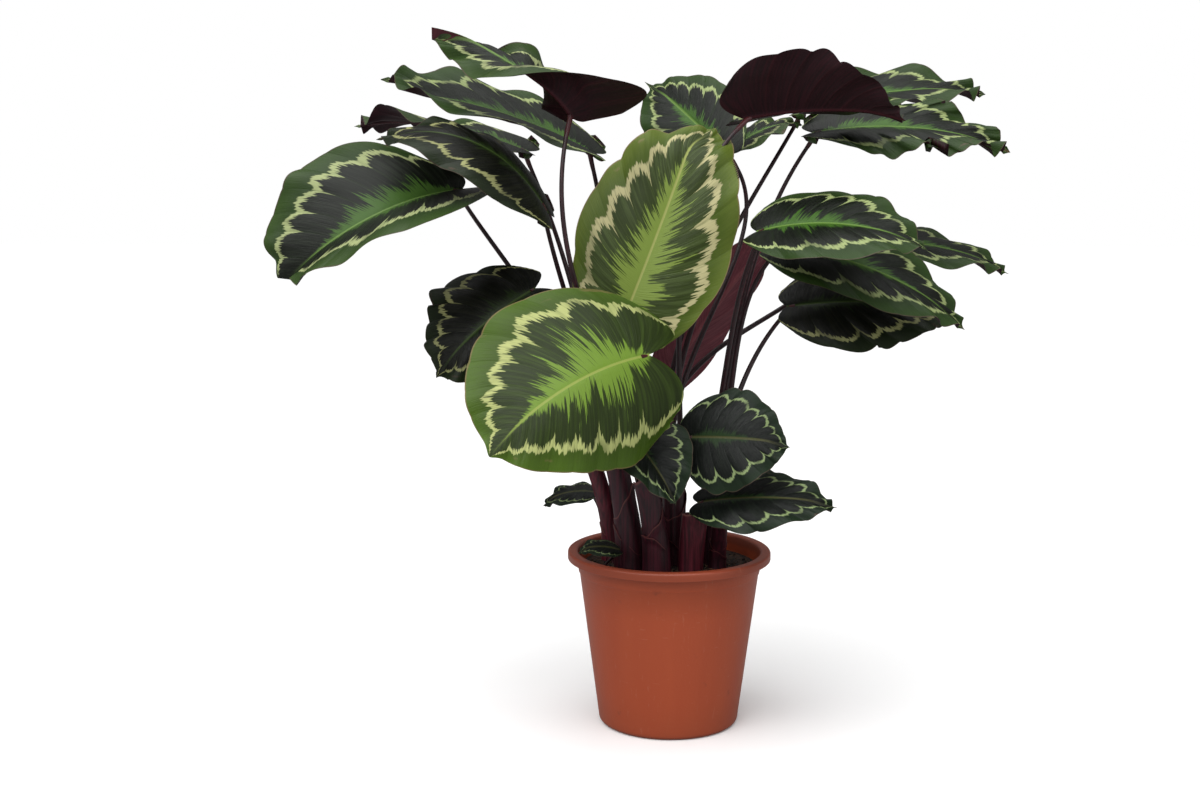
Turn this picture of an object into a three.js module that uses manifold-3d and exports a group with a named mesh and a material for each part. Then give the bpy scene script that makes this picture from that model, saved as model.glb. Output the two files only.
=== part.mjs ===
// A potted calathea: patterned leaves on long stalks that rise from a clump of sheathed shoots,
// growing in a tapered plastic nursery pot. Millimetres, +Z up. The origin is the centre of the
// pot's underside, -Y is the plant's front, and +X is its right as seen from the front.

import * as THREE from "three";
import { mergeVertices } from "three/addons/utils/BufferGeometryUtils.js";
import Module from "manifold-3d";

const wasm = await Module();
wasm.setup();

// ---- Driving dimensions ----

const GAP = 0.3; // clearance kept between pieces that touch

const POT = {
  height: 182, rimRadius: 105, baseRadius: 72, wall: 2,
  neckRadius: 94.7, // outside of the wall just under the rim
  rimDrop: 8, rimRound: 3,
  shoulderHeight: 159, shoulderStep: 0.9,
  footRound: 6, floor: 3, segments: 56,
};
const DRAIN = { count: 8, ringRadius: 48, radius: 5, sides: 16 };
const SOIL = { height: 164, segments: 40 };

const LEAF = {
  thickness: 1.4, // along the midrib, thinning to nothing at the margin
  stations: 12, // cross rows from stalk to tip
  reach: 3, // facets from midrib to margin
  lobe: 0.07, // how far the basal lobes pass behind the stalk, as a share of the length
  firstVein: 0.05, // where the first vein meets the margin, as a share of the margin
  heel: 1.3, // how round the basal lobes swell, as a share of the lobe
  crowding: 1.7, // how strongly the veins crowd towards the tip
  roundness: 0.62, // lower is squarer
  fullness: [0.87, 0.87], // left and right; below 1 puts the widest place nearer the stalk
};
const STALK = {
  rootRadius: 3.4, endRadius: 2.2, sides: 7, steps: 9,
  arrival: 45, // degrees between the stalk's end and the midrib that it meets
  leaving: 0.4, meeting: 0.35, // how far each end keeps its direction, as a share of the span
};
const SHOOT = { sides: 12, steps: 5, slotRing: 7.2 };

// ---- Colours and finishes ----

const FINISH = {
  pot: { color: 0x9b4b32, roughness: 0.42, metalness: 0 },
  soil: { color: 0x2b1d15, roughness: 0.95, metalness: 0 },
  sheath: { color: 0x4f1626, roughness: 0.5, metalness: 0 },
  stalk: { color: 0x3d1420, roughness: 0.45, metalness: 0 },
  darkLeaf: { color: 0x1f3a22, roughness: 0.42, metalness: 0 },
  youngLeaf: { color: 0x5c8f2e, roughness: 0.4, metalness: 0 },
};

// ---- Shoots: where each leaves the soil and where its sheath ends ----

const SHOOTS = {
  left: { foot: [-58, 22], top: [-80, 8, 272], footRadii: [12, 11], topRadii: [9, 8] },
  broad: { foot: [-40, -8], top: [-58, -5, 284], footRadii: [15, 13], topRadii: [12, 11.5] },
  front: { foot: [-12, -28], top: [-26, -34, 264], footRadii: [14, 12], topRadii: [12, 11.5] },
  middle: { foot: [5, 8], top: [4, 4, 278], footRadii: [12, 12], topRadii: [12, 11.5] },
  right: { foot: [40, 28], top: [52, 22, 290], footRadii: [14, 13], topRadii: [12, 11.5] },
  back: { foot: [-14, 44], top: [-8, 46, 288], footRadii: [14, 12], topRadii: [12, 11.5] },
  low_right: { foot: [50, -6], top: [52, -22, 215], footRadii: [9, 9], topRadii: [8, 8] },
};
const CUT_STUB = { foot: [22, -18], top: [27, -24, 228], footRadii: [12, 10], topRadii: [13, 9] };

// ---- Leaves ----
// base and tip are the ends of the midrib, and faces is the way the upper side looks at each end.
// arch lifts the midrib's control point towards the upper side, and bulge moves it further. left and
// right bend each half about the midrib, in degrees at the midrib and at the margin; positive folds
// towards the upper side. bow pushes the stalk's upper half aside, and slotBearing turns its place in
// the sheath, in degrees from +X.

const LEAVES = [
  { name: "far_left", shoot: "broad", base: [-210, -10, 552], tip: [-368, -70, 470],
    faces: [[0, -0.85, 0.5], [-0.3, -0.9, 0.3]], arch: 66, width: 182,
    left: [55, 35], right: [5, -5], fullness: [0.8, 1.5], roundness: 0.4, bow: [0, 28, -6] },
  { name: "left_arched", shoot: "broad", base: [-120, -60, 531], tip: [-278, -80, 606],
    faces: [[0.3, -0.42, 0.85], [-0.3, -0.4, 0.85]], arch: 70, width: 112,
    left: [8, -35], right: [5, -40], bow: [40, 30, 0] },
  { name: "left_back", shoot: "broad", base: [-150, 70, 590], tip: [-325, 60, 620],
    faces: [[0, -0.2, 1], [0, 0.4, 0.9]], arch: 20, width: 120, left: [10, -20], right: [18, 0] },
  { name: "left_upper", shoot: "broad", base: [-78, 0, 588], tip: [-281, -20, 648],
    faces: [[0, -0.05, 1], [0, -0.1, 1]], arch: 24, width: 118, left: [8, 4], right: [32, 8],
    slotBearing: 0 },
  { name: "top_left_twisted", shoot: "front", base: [-96, -60, 621], tip: [-233, -20, 701],
    faces: [[0.3, 0.65, 0.7], [-0.3, -0.8, 0.55]], arch: 0, bulge: [43, -62, 8], width: 108,
    left: [25, 10], right: [20, 0], bow: [-34, -62, 0] },
  { name: "centre_tall", shoot: "front", base: [-52, -54, 412], tip: [31, -6, 636], young: true,
    faces: [[-0.05, -0.95, 0.3], [0, -0.9, 0.4]], arch: 20, bulge: [8, 0, 0], width: 156,
    left: [10, -15], right: [12, -25], lobe: 0.1, slotBearing: 90 },
  { name: "front_round", shoot: "front", base: [-20, -120, 399], tip: [-160, -200, 323], young: true,
    faces: [[0, -0.88, 0.45], [-0.3, -0.88, 0.35]], arch: 22, bulge: [-6, 0, 18], width: 200,
    left: [-8, -62], right: [5, 0], lobe: 0.2, fullness: [0.75, 1.3], roundness: 0.45 },
  { name: "left_dark", shoot: "left", base: [-136, -20, 454], tip: [-229, -60, 375],
    faces: [[-0.2, -0.85, 0.45], [-0.4, -0.85, 0.2]], arch: 25, width: 156,
    left: [5, -40], right: [5, -30], lobe: 0.14, fullness: [0.87, 1.1] },
  { name: "centre_back", shoot: "middle", base: [59, 75, 587], tip: [-22, 165, 663],
    faces: [[-0.4, -0.75, 0.5], [-0.4, -0.65, 0.65]], arch: 15, width: 108,
    left: [10, -20], right: [10, -20] },
  { name: "top_right", shoot: "middle", base: [72, 5, 622], tip: [221, -45, 624],
    faces: [[-0.1, 0.8, 0.6], [-0.1, 0.8, 0.6]], arch: 22, width: 142,
    left: [50, 50], right: [0, 10], lobe: 0.13, fullness: [0.8, 0.8], roundness: 0.5 },
  { name: "top_right_back", shoot: "back", base: [137, 150, 633], tip: [330, 145, 655],
    faces: [[0, -0.42, 0.9], [0, -0.42, 0.9]], arch: 20, width: 118, left: [10, 0], right: [20, -10],
    bow: [0, -60, 0] },
  { name: "right_ragged", shoot: "right", base: [145, 62, 609], tip: [339, 45, 595],
    faces: [[0, -0.35, 0.95], [0, -0.35, 0.95]], arch: 26, width: 114, left: [22, 8], right: [15, -30] },
  { name: "behind_top_right", shoot: "back", base: [56, 122, 586], tip: [138, 140, 622],
    faces: [[0, -0.2, 1], [0, -0.2, 1]], arch: 16, width: 70, left: [10, 0], right: [10, -10],
    bow: [0, -60, 0] },
  { name: "right_front", shoot: "right", base: [83, -60, 513], tip: [237, -100, 504],
    faces: [[0.1, -0.6, 0.8], [0.2, -0.6, 0.8]], arch: 32, width: 124, left: [10, -15], right: [18, -12] },
  { name: "right_wavy", shoot: "right", base: [104, -10, 494], tip: [285, -40, 424],
    faces: [[0.1, -0.55, 0.8], [0.3, -0.5, 0.7]], arch: 40, width: 118, left: [10, -15], right: [14, -14] },
  { name: "right_lower", shoot: "right", base: [120, 30, 432], tip: [288, 20, 430],
    faces: [[0, -0.7, 0.7], [0.1, -0.7, 0.7]], arch: 20, width: 112, left: [10, -20], right: [5, -35] },
  { name: "far_right", shoot: "back", base: [189, 90, 494], tip: [352, 90, 468],
    faces: [[0.1, -0.35, 0.95], [0.3, -0.35, 0.9]], arch: 24, width: 86, left: [10, -15], right: [10, -20],
    bow: [0, -70, -10] },
  { name: "upright_back", shoot: "back", base: [-15, 85, 330], tip: [121, 145, 514],
    faces: [[-0.3, 0.9, 0.2], [-0.4, 0.85, 0.3]], arch: 15, width: 74, left: [15, 0], right: [15, 0] },
  { name: "low_round", shoot: "middle", base: [18, -60, 310], tip: [113, -95, 311],
    faces: [[0, -0.9, 0.4], [0.2, -0.9, 0.4]], arch: 14, width: 112, left: [5, -30], right: [5, -30],
    lobe: 0.12 },
  { name: "low_folded", shoot: "front", base: [-48, -70, 327], tip: [5, -114, 259],
    faces: [[0.35, -0.85, 0.35], [0.35, -0.9, 0.1]], arch: 12, width: 100,
    left: [15, -20], right: [45, 25], bow: [15, 0, 0] },
  { name: "low_right", shoot: "low_right", base: [28, -60, 244], tip: [158, -105, 254],
    faces: [[0, -0.6, 0.8], [0.1, -0.6, 0.8]], arch: 15, width: 80, left: [5, -15], right: [5, -30] },
  { name: "low_left", soilAt: [-70, 40], base: [-79, 36, 234], tip: [-132, 36, 223],
    faces: [[0, -0.4, 0.9], [-0.2, -0.4, 0.9]], arch: 12, width: 40, left: [5, -20], right: [5, -20] },
  { name: "newest_small", soilAt: [-68, -34], base: [-50, -40, 190], tip: [-90, -60, 195],
    faces: [[0, -0.5, 0.85], [0, -0.5, 0.85]], arch: 8, width: 28, left: [5, -20], right: [5, -20] },
];

// ---- Small helpers ----

const vector = (list) => new THREE.Vector3(...list);
const radians = THREE.MathUtils.degToRad;
const mix = THREE.MathUtils.lerp;

// Six times the enclosed volume: negative when the faces point inwards.
function signedVolume(position, index) {
  const [a, b, c] = [new THREE.Vector3(), new THREE.Vector3(), new THREE.Vector3()];
  let total = 0;
  for (let i = 0; i < index.length; i += 3) {
    a.fromBufferAttribute(position, index[i]);
    b.fromBufferAttribute(position, index[i + 1]);
    c.fromBufferAttribute(position, index[i + 2]);
    total += a.dot(b.cross(c));
  }
  return total;
}

// Welds a closed shape's shared corners, drops facets with no area and turns its faces outwards.
function closed(geometry) {
  geometry.deleteAttribute("normal");
  geometry.deleteAttribute("uv");
  const welded = mergeVertices(geometry, 1e-3);
  const corners = Array.from(welded.index.array);
  const kept = [];
  for (let i = 0; i < corners.length; i += 3) {
    const [a, b, c] = corners.slice(i, i + 3);
    if (a !== b && b !== c && c !== a) kept.push(a, b, c);
  }
  if (signedVolume(welded.attributes.position, kept) < 0) kept.reverse();
  welded.setIndex(kept);
  return welded;
}

// Closed skin through rings of points, each ring with the same count; its ends are capped flat.
function loft(rings) {
  const sides = rings[0].length;
  const points = rings.flat();
  const index = [];
  for (let ring = 0; ring + 1 < rings.length; ring++) {
    for (let side = 0; side < sides; side++) {
      const next = (side + 1) % sides;
      const [a, b] = [ring * sides + side, ring * sides + next];
      index.push(a, b, b + sides, a, b + sides, a + sides);
    }
  }
  const last = (rings.length - 1) * sides;
  for (let side = 1; side + 1 < sides; side++) {
    index.push(0, side + 1, side, last, last + side, last + side + 1);
  }
  const geometry = new THREE.BufferGeometry().setFromPoints(points);
  geometry.setIndex(index);
  return closed(geometry);
}

function toSolid(geometry) {
  const mesh = new wasm.Mesh({
    numProp: 3,
    vertProperties: new Float32Array(geometry.attributes.position.array),
    triVerts: new Uint32Array(geometry.index.array),
  });
  return new wasm.Manifold(mesh);
}

function fromSolid(solid) {
  const mesh = solid.getMesh();
  const geometry = new THREE.BufferGeometry();
  geometry.setAttribute("position", new THREE.BufferAttribute(mesh.vertProperties, 3));
  geometry.setIndex(new THREE.BufferAttribute(mesh.triVerts, 1));
  return geometry;
}

function piece(name, geometry, finish) {
  const mesh = new THREE.Mesh(geometry, new THREE.MeshStandardMaterial(finish));
  mesh.name = name;
  return mesh;
}

// ---- Pot and soil ----

// Outer radius of the tapered wall at a height, before the shoulder and rim are added.
function wallRadius(height) {
  return mix(POT.baseRadius, POT.neckRadius, height / (POT.height - POT.rimDrop));
}

function turned(points, segments) {
  const profile = points.map(([radius, height]) => new THREE.Vector2(radius, height));
  return closed(new THREE.LatheGeometry(profile, segments).rotateX(Math.PI / 2));
}

// Moulded pot: a flat foot with a rounded edge, a tapered wall with a faint shoulder, and a rim that
// turns outwards and down over the wall.
function makePot() {
  const { height, rimRadius, wall, rimDrop, rimRound, shoulderHeight, shoulderStep, footRound } = POT;
  const skirtFoot = height - rimDrop;
  const outer = [[0, 0]];
  for (let step = 0; step <= 4; step++) {
    const angle = (step / 4) * Math.PI / 2;
    const radius = wallRadius(footRound) - footRound + footRound * Math.sin(angle);
    outer.push([radius, footRound * (1 - Math.cos(angle))]);
  }
  outer.push([wallRadius(shoulderHeight), shoulderHeight]);
  outer.push([wallRadius(shoulderHeight) + shoulderStep, shoulderHeight + shoulderStep]);
  outer.push([wallRadius(height - wall) + shoulderStep / 2, height - wall]);
  outer.push([rimRadius - wall, height - wall], [rimRadius - wall, skirtFoot], [rimRadius, skirtFoot]);
  for (let step = 0; step <= 3; step++) {
    const angle = (step / 3) * Math.PI / 2;
    const turn = [rimRadius - rimRound + rimRound * Math.cos(angle), rimRound * (Math.sin(angle) - 1)];
    outer.push([turn[0], height + turn[1]]);
  }
  const mouth = wallRadius(height) - wall;
  const inner = [[mouth, height], [wallRadius(POT.floor) - wall, POT.floor], [0, POT.floor]];
  let solid = toSolid(turned([...outer, ...inner], POT.segments));
  const tall = 4 * POT.floor;
  for (let hole = 0; hole < DRAIN.count; hole++) {
    const angle = (hole / DRAIN.count) * 2 * Math.PI;
    const drill = new THREE.CylinderGeometry(DRAIN.radius, DRAIN.radius, tall, DRAIN.sides);
    drill.rotateX(Math.PI / 2);
    drill.translate(DRAIN.ringRadius * Math.cos(angle), DRAIN.ringRadius * Math.sin(angle), 0);
    solid = solid.subtract(toSolid(closed(drill)));
  }
  return piece("pot", fromSolid(solid), FINISH.pot);
}

function makeSoil() {
  const bottom = POT.floor + GAP;
  const top = SOIL.height;
  const inside = (height) => wallRadius(height) - POT.wall - 2 * GAP;
  const profile = [[0, bottom], [inside(bottom), bottom], [inside(top), top], [0, top]];
  return piece("soil", turned(profile, SOIL.segments), FINISH.soil);
}

// ---- Shoots ----

// A shoot's axis from the soil to the end of its sheath, leaving the soil upright.
function shootAxis({ foot, top }) {
  const start = new THREE.Vector3(foot[0], foot[1], SOIL.height + GAP);
  const end = vector(top);
  const knee = new THREE.Vector3(foot[0], foot[1], mix(start.z, end.z, 0.4));
  return new THREE.QuadraticBezierCurve3(start, knee, end);
}

function makeShoot(name, shoot) {
  const axis = shootAxis(shoot);
  const rings = [];
  for (let step = 0; step <= SHOOT.steps; step++) {
    const along = step / SHOOT.steps;
    const centre = axis.getPoint(along);
    const across = mix(shoot.footRadii[0], shoot.topRadii[0], along);
    const deep = mix(shoot.footRadii[1], shoot.topRadii[1], along);
    const ring = [];
    for (let side = 0; side < SHOOT.sides; side++) {
      const angle = (side / SHOOT.sides) * 2 * Math.PI;
      const offset = new THREE.Vector3(across * Math.cos(angle), deep * Math.sin(angle), 0);
      ring.push(centre.clone().add(offset));
    }
    rings.push(ring);
  }
  return piece(name, loft(rings), FINISH.sheath);
}

// ---- Leaf blades ----

// The midrib, and the frame that the blade is built on at a place along it.
function makeSpine(leaf) {
  const [base, tip] = [vector(leaf.base), vector(leaf.tip)];
  const [facesBase, facesTip] = leaf.faces.map((faces) => vector(faces).normalize());
  const chord = tip.clone().sub(base);
  const lift = facesBase.clone().add(facesTip);
  lift.addScaledVector(chord, -lift.dot(chord) / chord.lengthSq()).normalize();
  const knee = base.clone().addScaledVector(chord, 0.5).addScaledVector(lift, leaf.arch);
  if (leaf.bulge) knee.add(vector(leaf.bulge));
  return (along) => {
    const rest = 1 - along;
    const centre = base.clone().multiplyScalar(rest * rest);
    centre.addScaledVector(knee, 2 * rest * along).addScaledVector(tip, along * along);
    const forward = knee.clone().sub(base).multiplyScalar(rest);
    forward.addScaledVector(tip.clone().sub(knee), along).normalize();
    const up = facesBase.clone().lerp(facesTip, THREE.MathUtils.clamp(along, 0, 1));
    up.addScaledVector(forward, -up.dot(forward)).normalize();
    return { centre, forward, up, side: forward.clone().cross(up) };
  };
}

// One half's flat outline: how wide it is and where along the midrib, for a vein from 0 at the stalk
// to 1 at the tip. side is 0 for the left half and 1 for the right.
function marginOf(leaf, vein, side) {
  const { firstVein, crowding, lobe, fullness, roundness } = { ...LEAF, ...leaf };
  const run = mix(firstVein, 1, 1 - (1 - vein) ** crowding);
  const swell = Math.sin(Math.PI * run ** fullness[side]) ** roundness;
  return { along: mix(-lobe, 1, run), half: (leaf.width / 2) * (vein < 1 ? swell : 0), lobe };
}

// Flat place of a point: veins leave the midrib at a slant and sweep round towards the tip.
function flatPlace(leaf, vein, reach, side) {
  const margin = marginOf(leaf, vein, side);
  const heel = LEAF.heel * margin.lobe * (1 - vein) ** 8;
  const bend = { along: mix(vein, margin.along, 0.35) - heel, half: 0.6 * margin.half };
  const rest = 1 - reach;
  const along = rest * rest * vein + 2 * rest * reach * bend.along + reach * reach * margin.along;
  const out = 2 * rest * reach * bend.half + reach * reach * margin.half;
  return { along, out };
}

// A point on the blade: vein and reach place it on the flat leaf, the half's fold swings it round
// the midrib, and lift moves it off the middle of the thickness.
function bladePoint(leaf, spine, vein, reach, lift) {
  const place = flatPlace(leaf, vein, Math.abs(reach), reach < 0 ? 0 : 1);
  const { centre, up, side } = spine(place.along);
  const [atRib, atMargin] = (reach < 0 ? leaf.left : leaf.right).map(radians);
  const turn = (atMargin - atRib) / (leaf.width / 2);
  const angle = atRib + turn * place.out;
  const out = turn === 0 ? place.out * Math.cos(atRib) : (Math.sin(angle) - Math.sin(atRib)) / turn;
  const rise = turn === 0 ? place.out * Math.sin(atRib) : (Math.cos(atRib) - Math.cos(angle)) / turn;
  const across = Math.sign(reach) * (out - lift * Math.sin(angle));
  return centre.addScaledVector(side, across).addScaledVector(up, rise + lift * Math.cos(angle));
}

function makeBlade(leaf) {
  const spine = makeSpine(leaf);
  const width = 2 * LEAF.reach + 1;
  const points = [];
  for (const face of [1, -1]) {
    for (let station = 0; station <= LEAF.stations; station++) {
      for (let column = 0; column < width; column++) {
        const vein = station / LEAF.stations;
        const reach = column / LEAF.reach - 1;
        const ends = station === 0 || station === LEAF.stations ? 0 : 1;
        const half = (LEAF.thickness / 2) * ends * (1 - reach * reach);
        points.push(bladePoint(leaf, spine, vein, reach, face * half));
      }
    }
  }
  const lower = points.length / 2;
  const index = [];
  for (const [first, flipped] of [[0, false], [lower, true]]) {
    for (let station = 0; station < LEAF.stations; station++) {
      for (let column = 0; column + 1 < width; column++) {
        const a = first + station * width + column;
        const [b, c, d] = [a + 1, a + width + 1, a + width];
        index.push(...(flipped ? [a, c, b, a, d, c] : [a, b, c, a, c, d]));
      }
    }
  }
  const geometry = new THREE.BufferGeometry().setFromPoints(points);
  geometry.setIndex(index);
  return piece(`leaf_${leaf.name}`, closed(geometry), leaf.young ? FINISH.youngLeaf : FINISH.darkLeaf);
}

// ---- Leaf stalks ----

// Where the stalks stand on a sheath's end, in the order that their leaves lie around it.
function slotsOf(name) {
  const top = vector(SHOOTS[name].top);
  const towards = (leaf) => Math.atan2(leaf.base[1] - top.y, leaf.base[0] - top.x);
  const bearing = (leaf) => (leaf.slotBearing === undefined ? towards(leaf) : radians(leaf.slotBearing));
  const own = LEAVES.filter((leaf) => leaf.shoot === name).sort((a, b) => bearing(a) - bearing(b));
  if (own.length === 1) return new Map([[own[0], top]]);
  const spread = own.map((leaf, place) => bearing(leaf) - (place * 2 * Math.PI) / own.length);
  const turn = spread.reduce((sum, value) => sum + value, 0) / own.length;
  const ring = own.map((leaf, place) => {
    const angle = turn + (place * 2 * Math.PI) / own.length;
    const step = new THREE.Vector3(Math.cos(angle), Math.sin(angle), 0);
    return [leaf, top.clone().addScaledVector(step, SHOOT.slotRing)];
  });
  return new Map(ring);
}

const SLOTS = new Map(Object.keys(SHOOTS).flatMap((name) => [...slotsOf(name)]));

// A stalk's curve: up from its sheath or the soil, then round to meet the midrib from beneath.
function stalkCurve(leaf) {
  const { centre, forward, up } = makeSpine(leaf)(0);
  const start = (SLOTS.get(leaf) ?? new THREE.Vector3(...leaf.soilAt, SOIL.height)).clone();
  start.z += GAP;
  const clear = STALK.endRadius + LEAF.thickness / 2 + GAP;
  const end = centre.clone().addScaledVector(up, -clear).addScaledVector(forward, clear);
  const arrival = radians(STALK.arrival);
  const heading = forward.multiplyScalar(Math.cos(arrival)).addScaledVector(up, Math.sin(arrival));
  const span = start.distanceTo(end);
  const away = (leaf.shoot ? shootAxis(SHOOTS[leaf.shoot]).getTangent(1) : new THREE.Vector3(0, 0, 1));
  const leave = start.clone().addScaledVector(away, STALK.leaving * span);
  const meet = end.clone().addScaledVector(heading, -STALK.meeting * span);
  if (leaf.bow) meet.add(vector(leaf.bow));
  return new THREE.CubicBezierCurve3(start, leave, meet, end);
}

function makeStalk(leaf) {
  const curve = stalkCurve(leaf);
  const rings = [];
  let side = new THREE.Vector3(1, 0, 0);
  for (let step = 0; step <= STALK.steps; step++) {
    const along = step / STALK.steps;
    const heading = step === 0 ? new THREE.Vector3(0, 0, 1) : curve.getTangent(along);
    side.addScaledVector(heading, -side.dot(heading)).normalize();
    const other = heading.clone().cross(side);
    const radius = mix(STALK.rootRadius, STALK.endRadius, along);
    const centre = curve.getPoint(along);
    const ring = [];
    for (let corner = 0; corner < STALK.sides; corner++) {
      const angle = (corner / STALK.sides) * 2 * Math.PI;
      const point = centre.clone().addScaledVector(side, radius * Math.cos(angle));
      ring.push(point.addScaledVector(other, radius * Math.sin(angle)));
    }
    rings.push(ring);
    side = side.clone();
  }
  return piece(`stalk_${leaf.name}`, loft(rings), FINISH.stalk);
}

// ---- The plant ----

const plant = new THREE.Group();
plant.add(makePot(), makeSoil());
for (const [name, shoot] of Object.entries(SHOOTS)) plant.add(makeShoot(`sheath_${name}`, shoot));
plant.add(makeShoot("cut_stub", CUT_STUB));
for (const leaf of LEAVES) plant.add(makeStalk(leaf), makeBlade(leaf));

export default plant;
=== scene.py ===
# A potted calathea: patterned leaves on long stalks that rise from a clump of sheathed shoots, growing
# in a tapered plastic nursery pot. Metres, +Z up, with -Y as the plant's front. The pieces come in the
# order in which the plant is put together: studio, pot, soil, shoots, stalks and blades.

import math

import bpy
import numpy as np
from mathutils import Matrix, Vector


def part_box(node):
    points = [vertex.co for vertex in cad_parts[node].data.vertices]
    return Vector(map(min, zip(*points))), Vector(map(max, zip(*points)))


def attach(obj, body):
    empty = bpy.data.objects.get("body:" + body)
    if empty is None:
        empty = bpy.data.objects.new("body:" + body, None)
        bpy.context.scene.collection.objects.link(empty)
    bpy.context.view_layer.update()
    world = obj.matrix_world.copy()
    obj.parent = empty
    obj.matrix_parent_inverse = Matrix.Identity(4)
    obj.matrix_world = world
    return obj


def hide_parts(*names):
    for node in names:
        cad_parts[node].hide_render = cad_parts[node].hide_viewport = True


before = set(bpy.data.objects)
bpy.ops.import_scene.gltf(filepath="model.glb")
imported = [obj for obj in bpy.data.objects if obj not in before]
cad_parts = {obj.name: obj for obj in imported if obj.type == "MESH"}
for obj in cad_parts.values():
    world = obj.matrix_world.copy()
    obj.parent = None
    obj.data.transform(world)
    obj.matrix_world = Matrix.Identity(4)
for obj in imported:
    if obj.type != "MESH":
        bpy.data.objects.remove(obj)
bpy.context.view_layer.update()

MM = 0.001

# ---- Studio ----
# A white sweep of floor under broad soft lights and a soft sun, seen from the height of the upper
# leaves. The sweep looks white to the eye but throws less light back up at the plant.

EYE = {"place": (0.0, -1.690, 0.589), "downward": 8.45, "leftward": 2.43, "lens": 50}
SOFTBOXES = {  # place, aims at, width, watts
    "key_softbox": ((-1.1, -1.7, 1.9), (0.0, 0.0, 0.4), 2.6, 30),
    "fill_softbox": ((1.6, -1.3, 1.1), (0.0, 0.0, 0.4), 2.0, 9),
    "top_softbox": ((0.2, 0.5, 2.0), (0.0, 0.0, 0.5), 2.0, 5),
}
CEILING = {"strength": 2.75, "softness": 75, "place": (-0.3, -0.8, 3.0), "target": (0.0, 0.0, 0.3)}
SKY = {"light": 0.2, "seen": 0.8}
SWEEP = {"half_width": 9, "bounce": 0.3, "glow": 0.035, "roughness": 0.8}


def shown(name, data):
    """Makes an object of some data and puts it in the scene."""
    thing = bpy.data.objects.new(name, data)
    bpy.context.scene.collection.objects.link(thing)
    return thing


def lit(name, kind, power, place, target):
    """Hangs a light and turns it so that it shines at a point."""
    light = bpy.data.lights.new(name, kind)
    light.energy = power
    lamp = shown(name, light)
    lamp.location = place
    way = Vector(target) - lamp.location
    lamp.rotation_euler = way.to_track_quat("-Z", "Y").to_euler()
    return light


eye = bpy.data.cameras.new("eye")
eye.lens = EYE["lens"]
camera = shown("eye", eye)
camera.location = EYE["place"]
camera.rotation_euler = [math.radians(turn) for turn in (90 - EYE["downward"], 0, EYE["leftward"])]
bpy.context.scene.camera = camera
bpy.context.scene.view_settings.view_transform = "Standard"

for name, (place, target, width, watts) in SOFTBOXES.items():
    softbox = lit(name, "AREA", watts, place, target)
    softbox.size = width
ceiling = lit("ceiling", "SUN", CEILING["strength"], CEILING["place"], CEILING["target"])
ceiling.angle = math.radians(CEILING["softness"])


class Term:
    """A number that nodes work out, so that a node tree reads as the sums that it does."""

    def __init__(self, socket):
        self.socket = socket

    def done(self, operation, *others):
        node = self.socket.id_data.nodes.new("ShaderNodeMath")
        node.operation = operation
        for place, value in enumerate((self, *others)):
            plug(node.inputs[place], value)
        return Term(node.outputs[0])

    def __add__(self, other):
        return self.done("ADD", other)

    def __sub__(self, other):
        return self.done("SUBTRACT", other)

    def __mul__(self, other):
        return self.done("MULTIPLY", other)

    def __truediv__(self, other):
        return self.done("DIVIDE", other)

    def __pow__(self, other):
        return self.done("POWER", other)

    def __abs__(self):
        return self.done("ABSOLUTE")

    def sine(self):
        return self.done("SINE")

    def least(self, other):
        return self.done("MINIMUM", other)

    def most(self, other):
        return self.done("MAXIMUM", other)

    def rise(self, low, high):
        """Climbs smoothly from 0 at low to 1 at high, or falls where high is the lower."""
        node = self.socket.id_data.nodes.new("ShaderNodeMapRange")
        node.interpolation_type = "SMOOTHSTEP"
        flip = not isinstance(low, Term) and not isinstance(high, Term) and high < low
        for place, value in enumerate((self, high, low, 1, 0) if flip else (self, low, high, 0, 1)):
            plug(node.inputs[place], value)
        return Term(node.outputs[0])


def plug(socket, value):
    """Feeds a socket from another node, or sets it to a plain value."""
    if isinstance(value, Term):
        socket.id_data.links.new(value.socket, socket)
    else:
        socket.default_value = value


def put(tree, kind, inputs=(), settings=(), output=0):
    """Adds a node, sets and feeds it, and gives one of its outputs."""
    node = tree.nodes.new(kind)
    for name, value in dict(settings).items():
        setattr(node, name, value)
    for name, value in dict(inputs).items():
        plug(node.inputs[name], value)
    return Term(node.outputs[output])


def noise(tree, x, y, z, detail=2.0):
    """Smooth noise from 0 to 1 at a point given by three numbers."""
    point = put(tree, "ShaderNodeCombineXYZ", {"X": x, "Y": y, "Z": z})
    return put(tree, "ShaderNodeTexNoise", {"Vector": point, "Scale": 1.0, "Detail": detail})


def blend(tree, share, first, second):
    """Mixes two colours."""
    node = tree.nodes.new("ShaderNodeMix")
    node.data_type = "RGBA"
    for place, value in ((0, share), (6, first), (7, second)):
        plug(node.inputs[place], value)
    return Term(node.outputs[2])


def paint(code, strength=1.0):
    """A colour from its six-figure web code."""
    parts = [int(code[at:at + 2], 16) / 255 for at in (0, 2, 4)]
    linear = [(part / 12.92 if part <= 0.04045 else ((part + 0.055) / 1.055) ** 2.4) for part in parts]
    return (*[part * strength for part in linear], 1.0)


def finish_of(name):
    """A new material, its tree and its Principled shader."""
    material = bpy.data.materials.new(name)
    material.use_nodes = True
    return material, material.node_tree, material.node_tree.nodes["Principled BSDF"]


def bumped(tree, shader, height, distance, strength=1.0):
    """Gives a shader a bump from a height that runs from 0 to 1."""
    bump = put(tree, "ShaderNodeBump", {"Height": height, "Distance": distance, "Strength": strength})
    plug(shader.inputs["Normal"], bump)


def around(tree):
    """The three object coordinates of the surface, in metres."""
    place = put(tree, "ShaderNodeTexCoord", output=3)
    split = tree.nodes.new("ShaderNodeSeparateXYZ")
    plug(split.inputs[0], place)
    return [Term(socket) for socket in split.outputs]


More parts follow.
